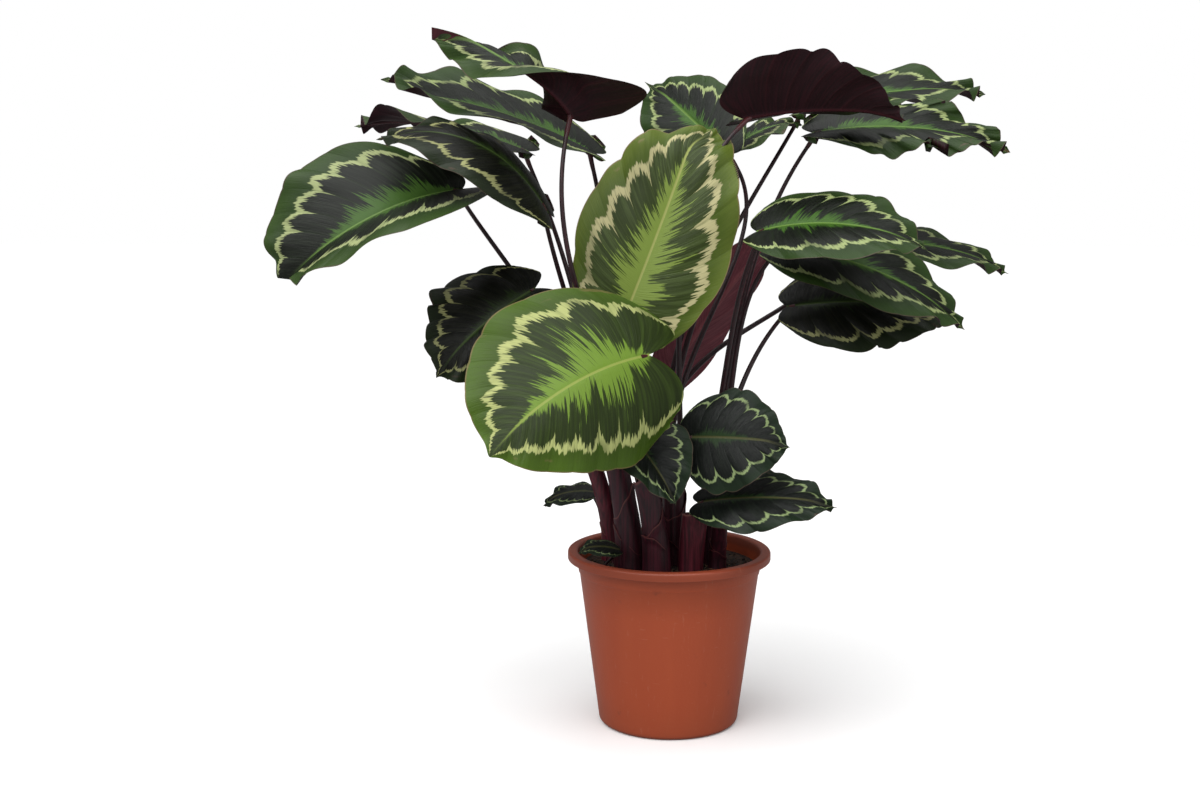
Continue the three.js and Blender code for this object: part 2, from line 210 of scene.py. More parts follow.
world = bpy.data.worlds.new("studio")
world.use_nodes = True
bpy.context.scene.world = world
sky = world.node_tree.nodes["Background"]
seen = put(world.node_tree, "ShaderNodeLightPath")
plug(sky.inputs["Strength"], seen * SKY["seen"] + SKY["light"])
sky.inputs["Color"].default_value = (1, 1, 1, 1)

floor_mesh = bpy.data.meshes.new("floor")
half = SWEEP["half_width"]
corners = [(-half, -half, 0), (half, -half, 0), (half, half, 0), (-half, half, 0)]
floor_mesh.from_pydata(corners, [], [(0, 1, 2, 3)])
floor = shown("floor", floor_mesh)
material, tree, shader = finish_of("white_sweep")
x, y, z = around(tree)
seen = put(tree, "ShaderNodeLightPath")
plug(shader.inputs["Base Color"], blend(tree, seen, (*[SWEEP["bounce"]] * 3, 1), (1, 1, 1, 1)))
shader.inputs["Emission Color"].default_value = (1, 1, 1, 1)
shader.inputs["Emission Strength"].default_value = SWEEP["glow"]
plug(shader.inputs["Roughness"], noise(tree, x * 3, y * 3, 0) * 0.1 + SWEEP["roughness"])
floor_mesh.materials.append(material)

# ---- Nursery pot ----
# One thin injection moulding in satin terracotta plastic: a flat foot with drain holes, a tapered
# wall with a faint shoulder, and a rim that turns outwards and down over the wall.

POT = {  # millimetres
    "wall": 1.6, "floor": 3.0, "foot_round": 6.0, "shoulder": 159.0, "step": 0.9, "neck": 94.7,
    "foot_radius": 72.0, "skirt": 8.0, "rim_round": 2.6, "rim_deep": 4, "under_rim_round": 1.6,
    "mouth_round": 3, "corner_round": 4, "stand": 9, "raised": 1.2, "segments": 144,
    "drains": 8, "drain_ring": 48.0, "drain_radius": 5.0, "drain_sides": 24,
}


def arc(centre, radius, start, end, steps):
    """Points on an arc, in degrees, as radius and height."""
    angles = np.radians(np.linspace(start, end, steps + 1))
    return [(centre[0] + radius * math.cos(a), centre[1] + radius * math.sin(a)) for a in angles]


def circled(radius, side, sides):
    """A corner of a regular polygon round the Z axis."""
    angle = 2 * math.pi * side / sides
    return radius * math.cos(angle), radius * math.sin(angle)


def once(corners):
    """A face's corners without any that comes twice."""
    return [corner for place, corner in enumerate(corners) if corner not in corners[:place]]


def lathed(name, profile, segments):
    """Turns a profile of (radius, height) in millimetres, closed on the Z axis, round that axis."""
    faces, points, ring_of = [], [], []
    for radius, height in profile:
        if radius < 1e-6:
            ring_of.append([len(points)] * segments)
            points.append((0, 0, height * MM))
            continue
        ring_of.append(list(range(len(points), len(points) + segments)))
        for side in range(segments):
            points.append((*circled(radius * MM, side, segments), height * MM))
    for low, high in zip(ring_of, ring_of[1:]):
        for side in range(segments):
            after = (side + 1) % segments
            face = once([low[side], low[after], high[after], high[side]])
            if len(face) > 2:
                faces.append(face)
    mesh = bpy.data.meshes.new(name)
    mesh.from_pydata(points, [], faces)
    mesh.shade_smooth()
    return mesh


def creased(mesh, degrees):
    """Keeps edges sharper than an angle crisp."""
    mesh.set_sharp_from_angle(angle=math.radians(degrees))


def settled(piece):
    """Turns what a piece's modifiers make into its plain mesh."""
    bpy.context.view_layer.update()
    shape = bpy.data.meshes.new_from_object(piece.evaluated_get(bpy.context.evaluated_depsgraph_get()))
    piece.modifiers.clear()
    piece.data = shape
    return piece


def pot_profile():
    """The moulding's outline from under its middle, up the outside, over the rim and down inside."""
    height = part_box("pot")[1].z / MM
    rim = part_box("pot")[1].x / MM
    wall, floor, skirt, lip = POT["wall"], POT["floor"], POT["skirt"], POT["rim_round"]
    foot, shoulder, step, raised = POT["foot_round"], POT["shoulder"], POT["step"], POT["raised"]
    under, corner, turn = POT["rim_deep"], POT["corner_round"], POT["under_rim_round"]
    taper = (POT["neck"] - POT["foot_radius"]) / (height - skirt)

    def wall_at(level):
        return POT["foot_radius"] + taper * level

    hollow = wall_at(0) - POT["stand"]
    outer = [(0, raised), (hollow - raised, raised), (hollow, 0)]
    outer += arc((wall_at(foot) - foot, foot), foot, -90, -8, 8)
    outer += [(wall_at(level), level) for level in np.linspace(foot + 2, shoulder, 6)]
    outer += [(wall_at(shoulder + 0.5) + step * 0.6, shoulder + 0.6)]
    outer += [(wall_at(shoulder + 1) + step, shoulder + 1.4)]
    outer += [(wall_at(height - under) + step, height - under)]
    outer += arc((rim - wall - turn, height - 4.4), turn, 180, 90, 4)
    outer += [(rim - wall, height - under), (rim - wall, height - skirt)]
    outer += arc((rim - wall / 2, height - skirt), wall / 2, 180, 360, 6)
    outer += arc((rim - lip, height - lip), lip, 0, 90, 8)
    mouth = wall_at(height) - wall + POT["mouth_round"]
    inner = arc((mouth, height - POT["mouth_round"]), POT["mouth_round"], 90, 170, 6)
    inner += [(wall_at(level) - wall, level) for level in np.linspace(height - 8, floor + corner, 8)]
    inner += arc((wall_at(corner) - wall - corner, floor + corner), corner, 0, -90, 5)
    return outer + inner + [(0, floor)]


def terracotta_plastic():
    """Satin moulded plastic with faint flow streaks, darker, browner patches towards the foot, specks and a
    few scuffs.
    """
    material, tree, shader = finish_of("terracotta_plastic")
    x, y, z = around(tree)
    bearing = y.done("ARCTAN2", x)
    flow = noise(tree, bearing * 3, z * 4, 0, 3)
    speckle = noise(tree, x * 900, y * 900, z * 900, 1)
    scuff = noise(tree, bearing * 26, z * 60, 3.7, 4).rise(0.64, 0.74)
    scratch = noise(tree, bearing * 6 + z * 14, z * 700, 1.3, 2).rise(0.70, 0.78)
    low = z.rise(0.045, 0.0)
    rim = z.rise(0.170, 0.176)
    body = blend(tree, flow, paint("a84625"), paint("b4502b"))
    body = blend(tree, rim * 0.6, body, paint("7c3723"))
    body = blend(tree, low * flow * 0.35, body, paint("7a3e26"))
    body = blend(tree, (scuff * 0.16 + scratch * 0.22).least(0.5), body, paint("c58d72"))
    dust = noise(tree, x * 60, y * 60, z * 60, 5).rise(0.66, 0.8)
    plug(shader.inputs["Base Color"], blend(tree, dust * 0.35, body, paint("4a2b20")))
    plug(shader.inputs["Roughness"], speckle * 0.1 + scuff * 0.15 + 0.36)
    grain = noise(tree, x * 420, y * 420, z * 420, 2)
    bumped(tree, shader, grain * 0.5 + noise(tree, bearing * 5, z * 9, 0) * 0.5, 0.0006, 0.35)
    return material


pot = shown("nursery_pot", lathed("nursery_pot", pot_profile(), POT["segments"]))
pot.data.materials.append(terracotta_plastic())
deep, reach = 2 * POT["floor"], POT["drain_radius"]
drills = []
for hole in range(POT["drains"]):
    rod = lathed("drill", [(0, -deep), (reach, -deep), (reach, deep), (0, deep)], POT["drain_sides"])
    # Half a side's turn keeps the drill's corners off the straight edges of the pot's floor.
    rod.transform(Matrix.Rotation(math.pi / POT["drain_sides"], 4, "Z"))
    rod.transform(Matrix.Translation((*circled(POT["drain_ring"] * MM, hole, POT["drains"]), 0)))
    drills.append(shown("drill", rod))
    cut = pot.modifiers.new("drain", "BOOLEAN")
    cut.object = drills[-1]
    cut.solver = "EXACT"
settled(pot)
for drill in drills:
    bpy.data.objects.remove(drill)
creased(pot.data, 40)
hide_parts("pot")
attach(pot, "root")

# ---- Potting soil ----
# Dark peat that fills the pot to a finger below the rim, lumpy on top, with crumbs, bark chips, root
# fibres and a few pale grains lying on it.

SOIL = {
    "rings": 46, "sides": 120, "swell": 2.6, "waves": 14, "pitch": (40, 190), "spin": (0, 6.3),
    "crumb": 1.7, "bark": 2.6, "fibre": 0.28, "grain": 1.1, "tilt": 0.35, "smallest": 0.35, "largest": 1.25,
}
LITTER = {  # how many lie on a square metre, how far from the middle in metres, and the seed
    "crumbs": (30000.0, 0.086, 3), "chips": (7000.0, 0.083, 11), "grains": (1500.0, 0.085, 23),
    "fibres": (1800.0, 0.074, 31),
}


def input_of(tree, name):
    """The identifier of a tree's named input."""
    for item in tree.interface.items_tree:
        if item.item_type == "SOCKET" and item.in_out == "INPUT" and item.name == name:
            return item.identifier
    raise KeyError(name)


def grown(piece, tree, values):
    """Runs a Geometry Nodes tree on a piece and keeps the result as its plain mesh."""
    modifier = piece.modifiers.new(tree.name, "NODES")
    modifier.node_group = tree
    for name, value in values.items():
        modifier[input_of(tree, name)] = value
    return settled(piece)


KINDS = {
    "geometry": "NodeSocketGeometry", "number": "NodeSocketFloat", "count": "NodeSocketInt",
    "material": "NodeSocketMaterial", "colour": "NodeSocketColor",
}


def new_tree(name, kind, inputs, outputs):
    """An empty node tree with named inputs and outputs; gives the tree, its inputs and its output node."""
    tree = bpy.data.node_groups.new(name, kind)
    for label, sort in outputs.items():
        tree.interface.new_socket(label, in_out="OUTPUT", socket_type=KINDS[sort])
    for label, sort in inputs.items():
        tree.interface.new_socket(label, in_out="INPUT", socket_type=KINDS[sort])
    start = tree.nodes.new("NodeGroupInput")
    return tree, {label: Term(start.outputs[label]) for label in inputs}, tree.nodes.new("NodeGroupOutput")


def random_between(tree, low, high, seed):
    """A different number, or vector, on each point."""
    vector = isinstance(low, tuple)
    node = tree.nodes.new("FunctionNodeRandomValue")
    node.data_type = "FLOAT_VECTOR" if vector else "FLOAT"
    node.inputs[0 if vector else 2].default_value = low
    node.inputs[1 if vector else 3].default_value = high
    node.inputs["Seed"].default_value = seed
    return Term(node.outputs[0 if vector else 1])


def scaled(tree, vector, share):
    """A vector made longer or shorter."""
    return put(tree, "ShaderNodeVectorMath", {0: vector, "Scale": share}, {"operation": "SCALE"})


def strewn(tree, ground, kind, shape, size, material, lying=False):
    """Scatters copies of a small shape over the ground's top, within a distance of its middle."""
    density, within, seed = LITTER[kind]
    up = put(tree, "ShaderNodeSeparateXYZ", {0: put(tree, "GeometryNodeInputNormal")}, output=2)
    place = tree.nodes.new("ShaderNodeSeparateXYZ")
    plug(place.inputs[0], put(tree, "GeometryNodeInputPosition"))
    out = (Term(place.outputs[0]) ** 2 + Term(place.outputs[1]) ** 2) ** 0.5
    top = up.done("GREATER_THAN", 0.6) * out.done("LESS_THAN", within)
    spots = put(tree, "GeometryNodeDistributePointsOnFaces",
                {"Mesh": ground, "Selection": top, "Density": density, "Seed": seed})
    tilt = SOIL["tilt"] if lying else math.pi
    turn = random_between(tree, (-tilt, -tilt, -math.pi), (tilt, tilt, math.pi), seed + 1)
    share = random_between(tree, (SOIL["smallest"],) * 3, (SOIL["largest"],) * 3, seed + 2)
    scale = scaled(tree, share, size)
    copies = put(tree, "GeometryNodeInstanceOnPoints",
                 {"Points": spots, "Instance": shape, "Rotation": turn, "Scale": scale})
    solid = put(tree, "GeometryNodeRealizeInstances", {0: copies})
    return put(tree, "GeometryNodeSetMaterial", {"Geometry": solid, "Material": material})


def soil_tree():
    """Lays crumbs, chips, pale grains and root fibres on the soil; what has no finish yet is peat."""
    tree, given, end = new_tree(
        "soil_litter", "GeometryNodeTree",
        {"Soil": "geometry", "Crumb Size": "number", "Bark Size": "number", "Grain Size": "number",
         "Fibre Radius": "number", "Peat": "material", "Bark": "material", "Pale": "material"},
        {"Soil": "geometry"})
    lump = put(tree, "GeometryNodeMeshIcoSphere", {"Radius": 1.0, "Subdivisions": 2})
    rough = put(tree, "ShaderNodeTexNoise", {"Scale": 1.4, "Detail": 1.0})
    outward = put(tree, "GeometryNodeInputNormal")
    push = scaled(tree, outward, (rough - 0.5) * 1.3)
    lump = put(tree, "GeometryNodeSetPosition", {"Geometry": lump, "Offset": push})
    chip = put(tree, "GeometryNodeMeshCube", {"Size": (1.6, 0.7, 0.3), "Vertices X": 3})
    push = scaled(tree, outward, (rough - 0.5) * 0.7)
    chip = put(tree, "GeometryNodeSetPosition", {"Geometry": chip, "Offset": push})
    bent = put(tree, "GeometryNodeCurveQuadraticBezier",
               {"Resolution": 7, "Start": (-9, 0, 0), "Middle": (0, 5, 3), "End": (9, -2, 0.5)})
    ring = put(tree, "GeometryNodeCurvePrimitiveCircle", {"Resolution": 5, "Radius": given["Fibre Radius"]})
    hair = put(tree, "GeometryNodeCurveToMesh", {"Curve": bent, "Profile Curve": ring, "Fill Caps": True})
    ground = given["Soil"]
    parts = [
        put(tree, "GeometryNodeSetMaterial", {"Geometry": ground, "Material": given["Peat"]}),
        strewn(tree, ground, "crumbs", lump, given["Crumb Size"], given["Peat"]),
        strewn(tree, ground, "chips", chip, given["Bark Size"], given["Bark"], True),
        strewn(tree, ground, "grains", lump, given["Grain Size"], given["Pale"]),
        strewn(tree, ground, "fibres", hair, MM, given["Bark"], True),
    ]
    join = tree.nodes.new("GeometryNodeJoinGeometry")
    for part in reversed(parts):
        tree.links.new(part.socket, join.inputs[0])
    whole = put(tree, "GeometryNodeRealizeInstances", {0: Term(join.outputs[0])})
    bare = put(tree, "GeometryNodeInputMaterialIndex").done("LESS_THAN", 0)
    plug(end.inputs["Soil"], put(tree, "GeometryNodeSetMaterial",
                                 {"Geometry": whole, "Selection": bare, "Material": given["Peat"]}))
    return tree


def soil_ground():
    """The block of soil: a lumpy top, and a side and bottom that follow the pot's inside."""
    low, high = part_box("soil")
    top, foot, radius = high.z, low.z, high.x
    inward = (POT["neck"] - POT["foot_radius"]) / (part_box("pot")[1].z / MM - POT["skirt"])
    points, faces, rows = [], [], []
    draw = np.random.default_rng(5)
    ranges = (SOIL["pitch"], SOIL["spin"], SOIL["spin"])
    waves = [[draw.uniform(*ends) for ends in ranges] for _ in range(SOIL["waves"])]
    for ring in range(SOIL["rings"] + 1):
        out = radius * (ring / SOIL["rings"]) ** 0.8
        row = []
        for side in range(SOIL["sides"]):
            x, y = circled(out, side, SOIL["sides"])
            lift = sum(math.sin(pitch * (x * math.cos(turn) + y * math.sin(turn)) + start) / len(waves) ** 0.5
                       for pitch, turn, start in waves)
            edge = 1 - (ring / SOIL["rings"]) ** 10
            row.append(len(points))
            points.append((x, y, top + (lift * edge * 0.9 + 0.6 - edge) * SOIL["swell"] * MM * 0.8))
            if ring == 0:
                break
        rows.append(row * SOIL["sides"] if ring == 0 else row)
    rows.append(list(range(len(points), len(points) + SOIL["sides"])))
    out = radius - inward * (top - foot)
    points += [(*circled(out, side, SOIL["sides"]), foot) for side in range(SOIL["sides"])]
    rows.append([len(points)] * SOIL["sides"])
    points.append((0, 0, foot))
    for inside, outside in zip(rows, rows[1:]):
        for side in range(SOIL["sides"]):
            after = (side + 1) % SOIL["sides"]
            faces.append(once([inside[side], outside[side], outside[after], inside[after]]))
    mesh = bpy.data.meshes.new("potting_soil")
    mesh.from_pydata(points, [], faces)
    mesh.shade_smooth()
    return mesh


def litter_finish(name, dark, light, grain, rough):
    """A dull organic finish that varies over millimetres."""
    material, tree, shader = finish_of(name)
    x, y, z = around(tree)
    patch = noise(tree, x * grain, y * grain, z * grain, 5)
    fine = noise(tree, x * grain * 5, y * grain * 5, z * grain * 5, 3)
    plug(shader.inputs["Base Color"], blend(tree, patch.rise(0.35, 0.7), paint(dark), paint(light)))
    plug(shader.inputs["Roughness"], fine * 0.15 + rough)
    bumped(tree, shader, patch * 0.5 + fine * 0.5, 0.0012, 0.9)
    return material


peat = litter_finish("peat", "150d09", "47301f", 260, 0.82)
bark = litter_finish("bark_and_fibre", "43291a", "96704b", 420, 0.7)
pale_grain = litter_finish("pale_grain", "a99b84", "d8cdb8", 500, 0.8)
soil = shown("potting_soil", soil_ground())
grown(soil, soil_tree(), {
    "Crumb Size": SOIL["crumb"] * MM, "Bark Size": SOIL["bark"] * MM, "Grain Size": SOIL["grain"] * MM,
    "Fibre Radius": SOIL["fibre"], "Peat": peat, "Bark": bark, "Pale": pale_grain})
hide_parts("soil")
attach(soil, "root")

# ---- Sheathed shoots and the cut stub ----
# Each shoot is a bundle of stalk bases wrapped in their own sheaths, dark wine red and ribbed along
# their length. One sheath's edge laps over the next, and each ends in an oblique, drier rim.

SHOOTS = {  # where each leaves the soil, where its sheath ends, and its half widths there, in millimetres
    "left": ((-58, 22), (-80, 8, 272), (12, 11), (9, 8)),
    "broad": ((-40, -8), (-58, -5, 284), (15, 13), (12, 11.5)),
    "front": ((-12, -28), (-26, -34, 264), (14, 12), (12, 11.5)),
    "middle": ((5, 8), (4, 4, 278), (12, 12), (12, 11.5)),
    "right": ((40, 28), (52, 22, 290), (14, 13), (12, 11.5)),
    "back": ((-14, 44), (-8, 46, 288), (14, 12), (12, 11.5)),
    "low_right": ((50, -6), (52, -22, 215), (9, 9), (8, 8)),
    "cut_stub": ((22, -18), (27, -24, 228), (12, 10), (13, 9)),
}
WRAP = {
    "turn": 1.28, "skin": 1.0, "rows": 30, "columns": 84, "ribs": 30, "rib": 0.22, "sink": 6.0, "lap": 0.10,
    "ripple": 0.012, "flare": 0.06, "thinning": 0.75, "between": 2.2, "drift": 0.9, "shortest": 0.92,
}
CORE = {"share": 0.86, "height": 0.94, "sides": 48, "steps": 24, "sunk": -0.05, "lobe": 0.05, "lobes": 9}
SHEATHS = {  # how wide at the foot and the top, how high, and how far the rim slants, as shares
    "shoot": [(0.90, 0.88, 1.0, 0.10), (0.98, 0.95, 0.80, 0.30), (1.06, 1.04, 0.46, 0.28)],
    "stub": [(0.98, 0.97, 1.0, 0.06)],
}
KNEE = 0.4  # how high above its foot a shoot starts to lean, as a share of its height


def bezier(points, along):
    """Places on a Bezier curve through any number of control points."""
    rest, along = 1 - np.asarray(along)[..., None], np.asarray(along)[..., None]
    points = [np.asarray(point, float) + 0 * along for point in points]
    while len(points) > 1:
        points = [rest * near + along * far for near, far in zip(points, points[1:])]
    return points[0]


def unit(vectors):
    """The same directions, one unit long."""
    return vectors / np.maximum(np.linalg.norm(vectors, axis=-1, keepdims=True), 1e-12)


def ease(value, low, high):
    """Climbs smoothly from 0 at low to 1 at high."""
    share = np.clip((np.asarray(value, float) - low) / (high - low), 0, 1)
    return share * share * (3 - 2 * share)


def shoot_axis(name):
    """The control points of a shoot's axis: straight up at first, then leaning to its end."""
    foot, top = SHOOTS[name][:2]
    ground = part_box("soil")[1].z / MM
    return [(*foot, ground), (*foot, ground + KNEE * (top[2] - ground)), top]


def sheet_solid(outer, inner):
    """A thin closed solid between two grids of points, as its points and its faces."""
    rows, columns = outer.shape[:2]
    points = np.concatenate([outer.reshape(-1, 3), inner.reshape(-1, 3)])

    def at(side, row, column):
        return side * rows * columns + row * columns + column

    faces = []
    for row in range(rows - 1):
        for column in range(columns - 1):
            quad = [(row, column), (row, column + 1), (row + 1, column + 1), (row + 1, column)]
            faces.append([at(0, *corner) for corner in quad])
            faces.append([at(1, *corner) for corner in reversed(quad)])
    border = [(0, column) for column in range(columns)]
    border += [(row, columns - 1) for row in range(1, rows)]
    border += [(rows - 1, column) for column in range(columns - 2, -1, -1)]
    border += [(row, 0) for row in range(rows - 2, 0, -1)]
    for here, after in zip(border, border[1:] + border[:1]):
        faces.append([at(0, *after), at(0, *here), at(1, *here), at(1, *after)])
    return points, faces


def ringed(centre, radius_x, radius_y, angle):
    """Points at an angle round places on an axis, and level with them."""
    return np.stack([centre[..., 0] + radius_x * np.cos(angle), centre[..., 1] + radius_y * np.sin(angle),
                     centre[..., 2]], axis=-1)


def wrap_points(name, turn_from, foot_share, top_share, height, slope, draw):
    """One sheath rolled round a shoot: its outer and inner skins as grids of points."""
    axis = shoot_axis(name)
    foot_radii, top_radii = (np.array(radii, float) for radii in SHOOTS[name][2:])
    rows, columns = np.linspace(0, 1, WRAP["rows"]), np.linspace(0, 1, WRAP["columns"])
    up, turned = np.meshgrid(rows, columns, indexing="ij")
    angle = turn_from + turned * WRAP["turn"] * 2 * math.pi
    slant = slope * (0.5 - 0.5 * np.cos(angle - turn_from - 0.3)) + WRAP["ripple"] * np.sin(5 * angle)
    along = up * (height - slant)
    sunk = -WRAP["sink"] / (axis[2][2] - axis[0][2])
    along = sunk * (1 - up) + along
    spiral = foot_share + (top_share - foot_share) * up + WRAP["lap"] * turned
    flare = WRAP["flare"] * ease(up, 0.82, 1.0) * (1 + np.sin(2 * angle + draw.uniform(0, 6)))
    ribs = WRAP["rib"] * np.abs(np.sin(WRAP["ribs"] / 2 * angle + 1.2 * np.sin(2.2 * up)))
    edge = 1 - WRAP["thinning"] * ease(up, 0.9, 1.0)
    share = spiral + flare
    centre = bezier(axis, along)
    grids = []
    for skin in (0.0, WRAP["skin"]):
        radii = [(foot + (top - foot) * up) * share - skin * edge + ribs
                 for foot, top in zip(foot_radii, top_radii)]
        grids.append(ringed(centre, *radii, angle))
    return grids


def core_points(name, hollow):
    """The bundle inside the sheaths: rings up its outside, and over or down into its top."""
    axis = shoot_axis(name)
    foot_radii, top_radii = (np.array(radii, float) for radii in SHOOTS[name][2:])
    share, height, sides = CORE["share"], CORE["height"], CORE["sides"]
    steps = [(along, 1.0) for along in np.linspace(CORE["sunk"], height, CORE["steps"])]
    if hollow:
        steps += [(height + 0.012, 0.95), (height, 0.86), (height - 0.25, 0.74), (height - 0.3, 0.5)]
    else:
        steps += [(height + 0.01, 0.92), (height + 0.02, 0.75), (height + 0.026, 0.4)]
    angle = np.linspace(0, 2 * math.pi, sides, endpoint=False)
    lobes = 1 + CORE["lobe"] * np.abs(np.sin(CORE["lobes"] / 2 * angle)) * (0 if hollow else 1)
    rings = []
    for along, swell in steps:
        radii = foot_radii + (top_radii - foot_radii) * np.clip(along, 0, 1)
        centre = bezier(axis, np.full(sides, along))
        rings.append(ringed(centre, *[radius * share * swell * lobes for radius in radii], angle))
    points = np.concatenate(rings)
    faces = []
    for ring in range(len(rings) - 1):
        for side in range(sides):
            after = (side + 1) % sides
            low, high = ring * sides, (ring + 1) * sides
            faces.append([low + side, low + after, high + after, high + side])
    faces.append(list(range(sides))[::-1])
    faces.append([(len(rings) - 1) * sides + side for side in range(sides)])
    return points, faces


def told(tree, name):
    """A number that the mesh holds on its points, read in a material."""
    return put(tree, "ShaderNodeAttribute", settings={"attribute_name": name}, output=2)


def sheath_finish(name, dark, light, edge):
    """Waxy wine-red skin, streaked along its ribs, with a paler and drier rim."""
    material, tree, shader = finish_of(name)
    x, y, z = around(tree)
    streak = noise(tree, x * 420, y * 420, z * 9, 3)
    blotch = noise(tree, x * 50, y * 50, z * 22, 4)
    skin = blend(tree, streak.rise(0.3, 0.72), paint(dark), paint(light))
    skin = blend(tree, blotch.rise(0.55, 0.75) * 0.5, skin, paint("2c0d16"))
    rim = told(tree, "rise").rise(0.965, 0.995)
    plug(shader.inputs["Base Color"], blend(tree, rim * 0.8, skin, paint(edge)))
    plug(shader.inputs["Roughness"], streak * 0.2 + blotch * 0.1 + 0.34)
    bumped(tree, shader, streak, 0.0005, 0.8)
    return material


def joined(name, parts, rises):
    """One mesh from several closed shells in millimetres, with how far up its sheath each point lies."""
    points, faces = [], []
    for shell, quads in parts:
        start = len(points)
        points.extend(map(tuple, np.asarray(shell) * MM))
        faces.extend([corner + start for corner in quad] for quad in quads)
    mesh = bpy.data.meshes.new(name)
    mesh.from_pydata(points, [], faces)
    rise = mesh.attributes.new("rise", "FLOAT", "POINT")
    rise.data.foreach_set("value", np.concatenate(rises).astype(np.float32))
    mesh.shade_smooth()
    creased(mesh, 55)
    return mesh


wine_sheath = sheath_finish("wine_sheath", "200610", "4a1022", "7d4744")
red_sheath = sheath_finish("red_sheath", "3a0c18", "6c2030", "9c665c")
draw = np.random.default_rng(12)
for name in SHOOTS:
    stub = name == "cut_stub"
    core, quads = core_points(name, stub)
    parts, rises = [(core, quads)], [np.zeros(len(core))]
    sheaths = SHEATHS["stub" if stub else "shoot"]
    for place, (foot_share, top_share, height, slope) in enumerate(sheaths):
        facing = -math.pi / 2 + draw.uniform(-WRAP["drift"], WRAP["drift"]) + place * WRAP["between"]
        shrink = draw.uniform(WRAP["shortest"], 1.0) if place else 1.0
        grids = wrap_points(name, facing, foot_share, top_share, height * shrink, slope, draw)
        parts.append(sheet_solid(*grids))
        rises.append(np.tile(np.repeat(np.linspace(0, 1, WRAP["rows"]), WRAP["columns"]), 2))
    sheath = shown("wrapped_" + name, joined("wrapped_" + name, parts, rises))
    sheath.data.materials.append(red_sheath if name in ("cut_stub", "left") else wine_sheath)
    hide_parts("cut_stub" if stub else "sheath_" + name)
    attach(sheath, "root")

# ---- Leaf stalks ----
# One slender maroon stalk a leaf. It leaves its sheath beside its neighbours, or the soil on its own,
# arches over under the leaf's weight, and thickens into a short redder joint just before the blade.

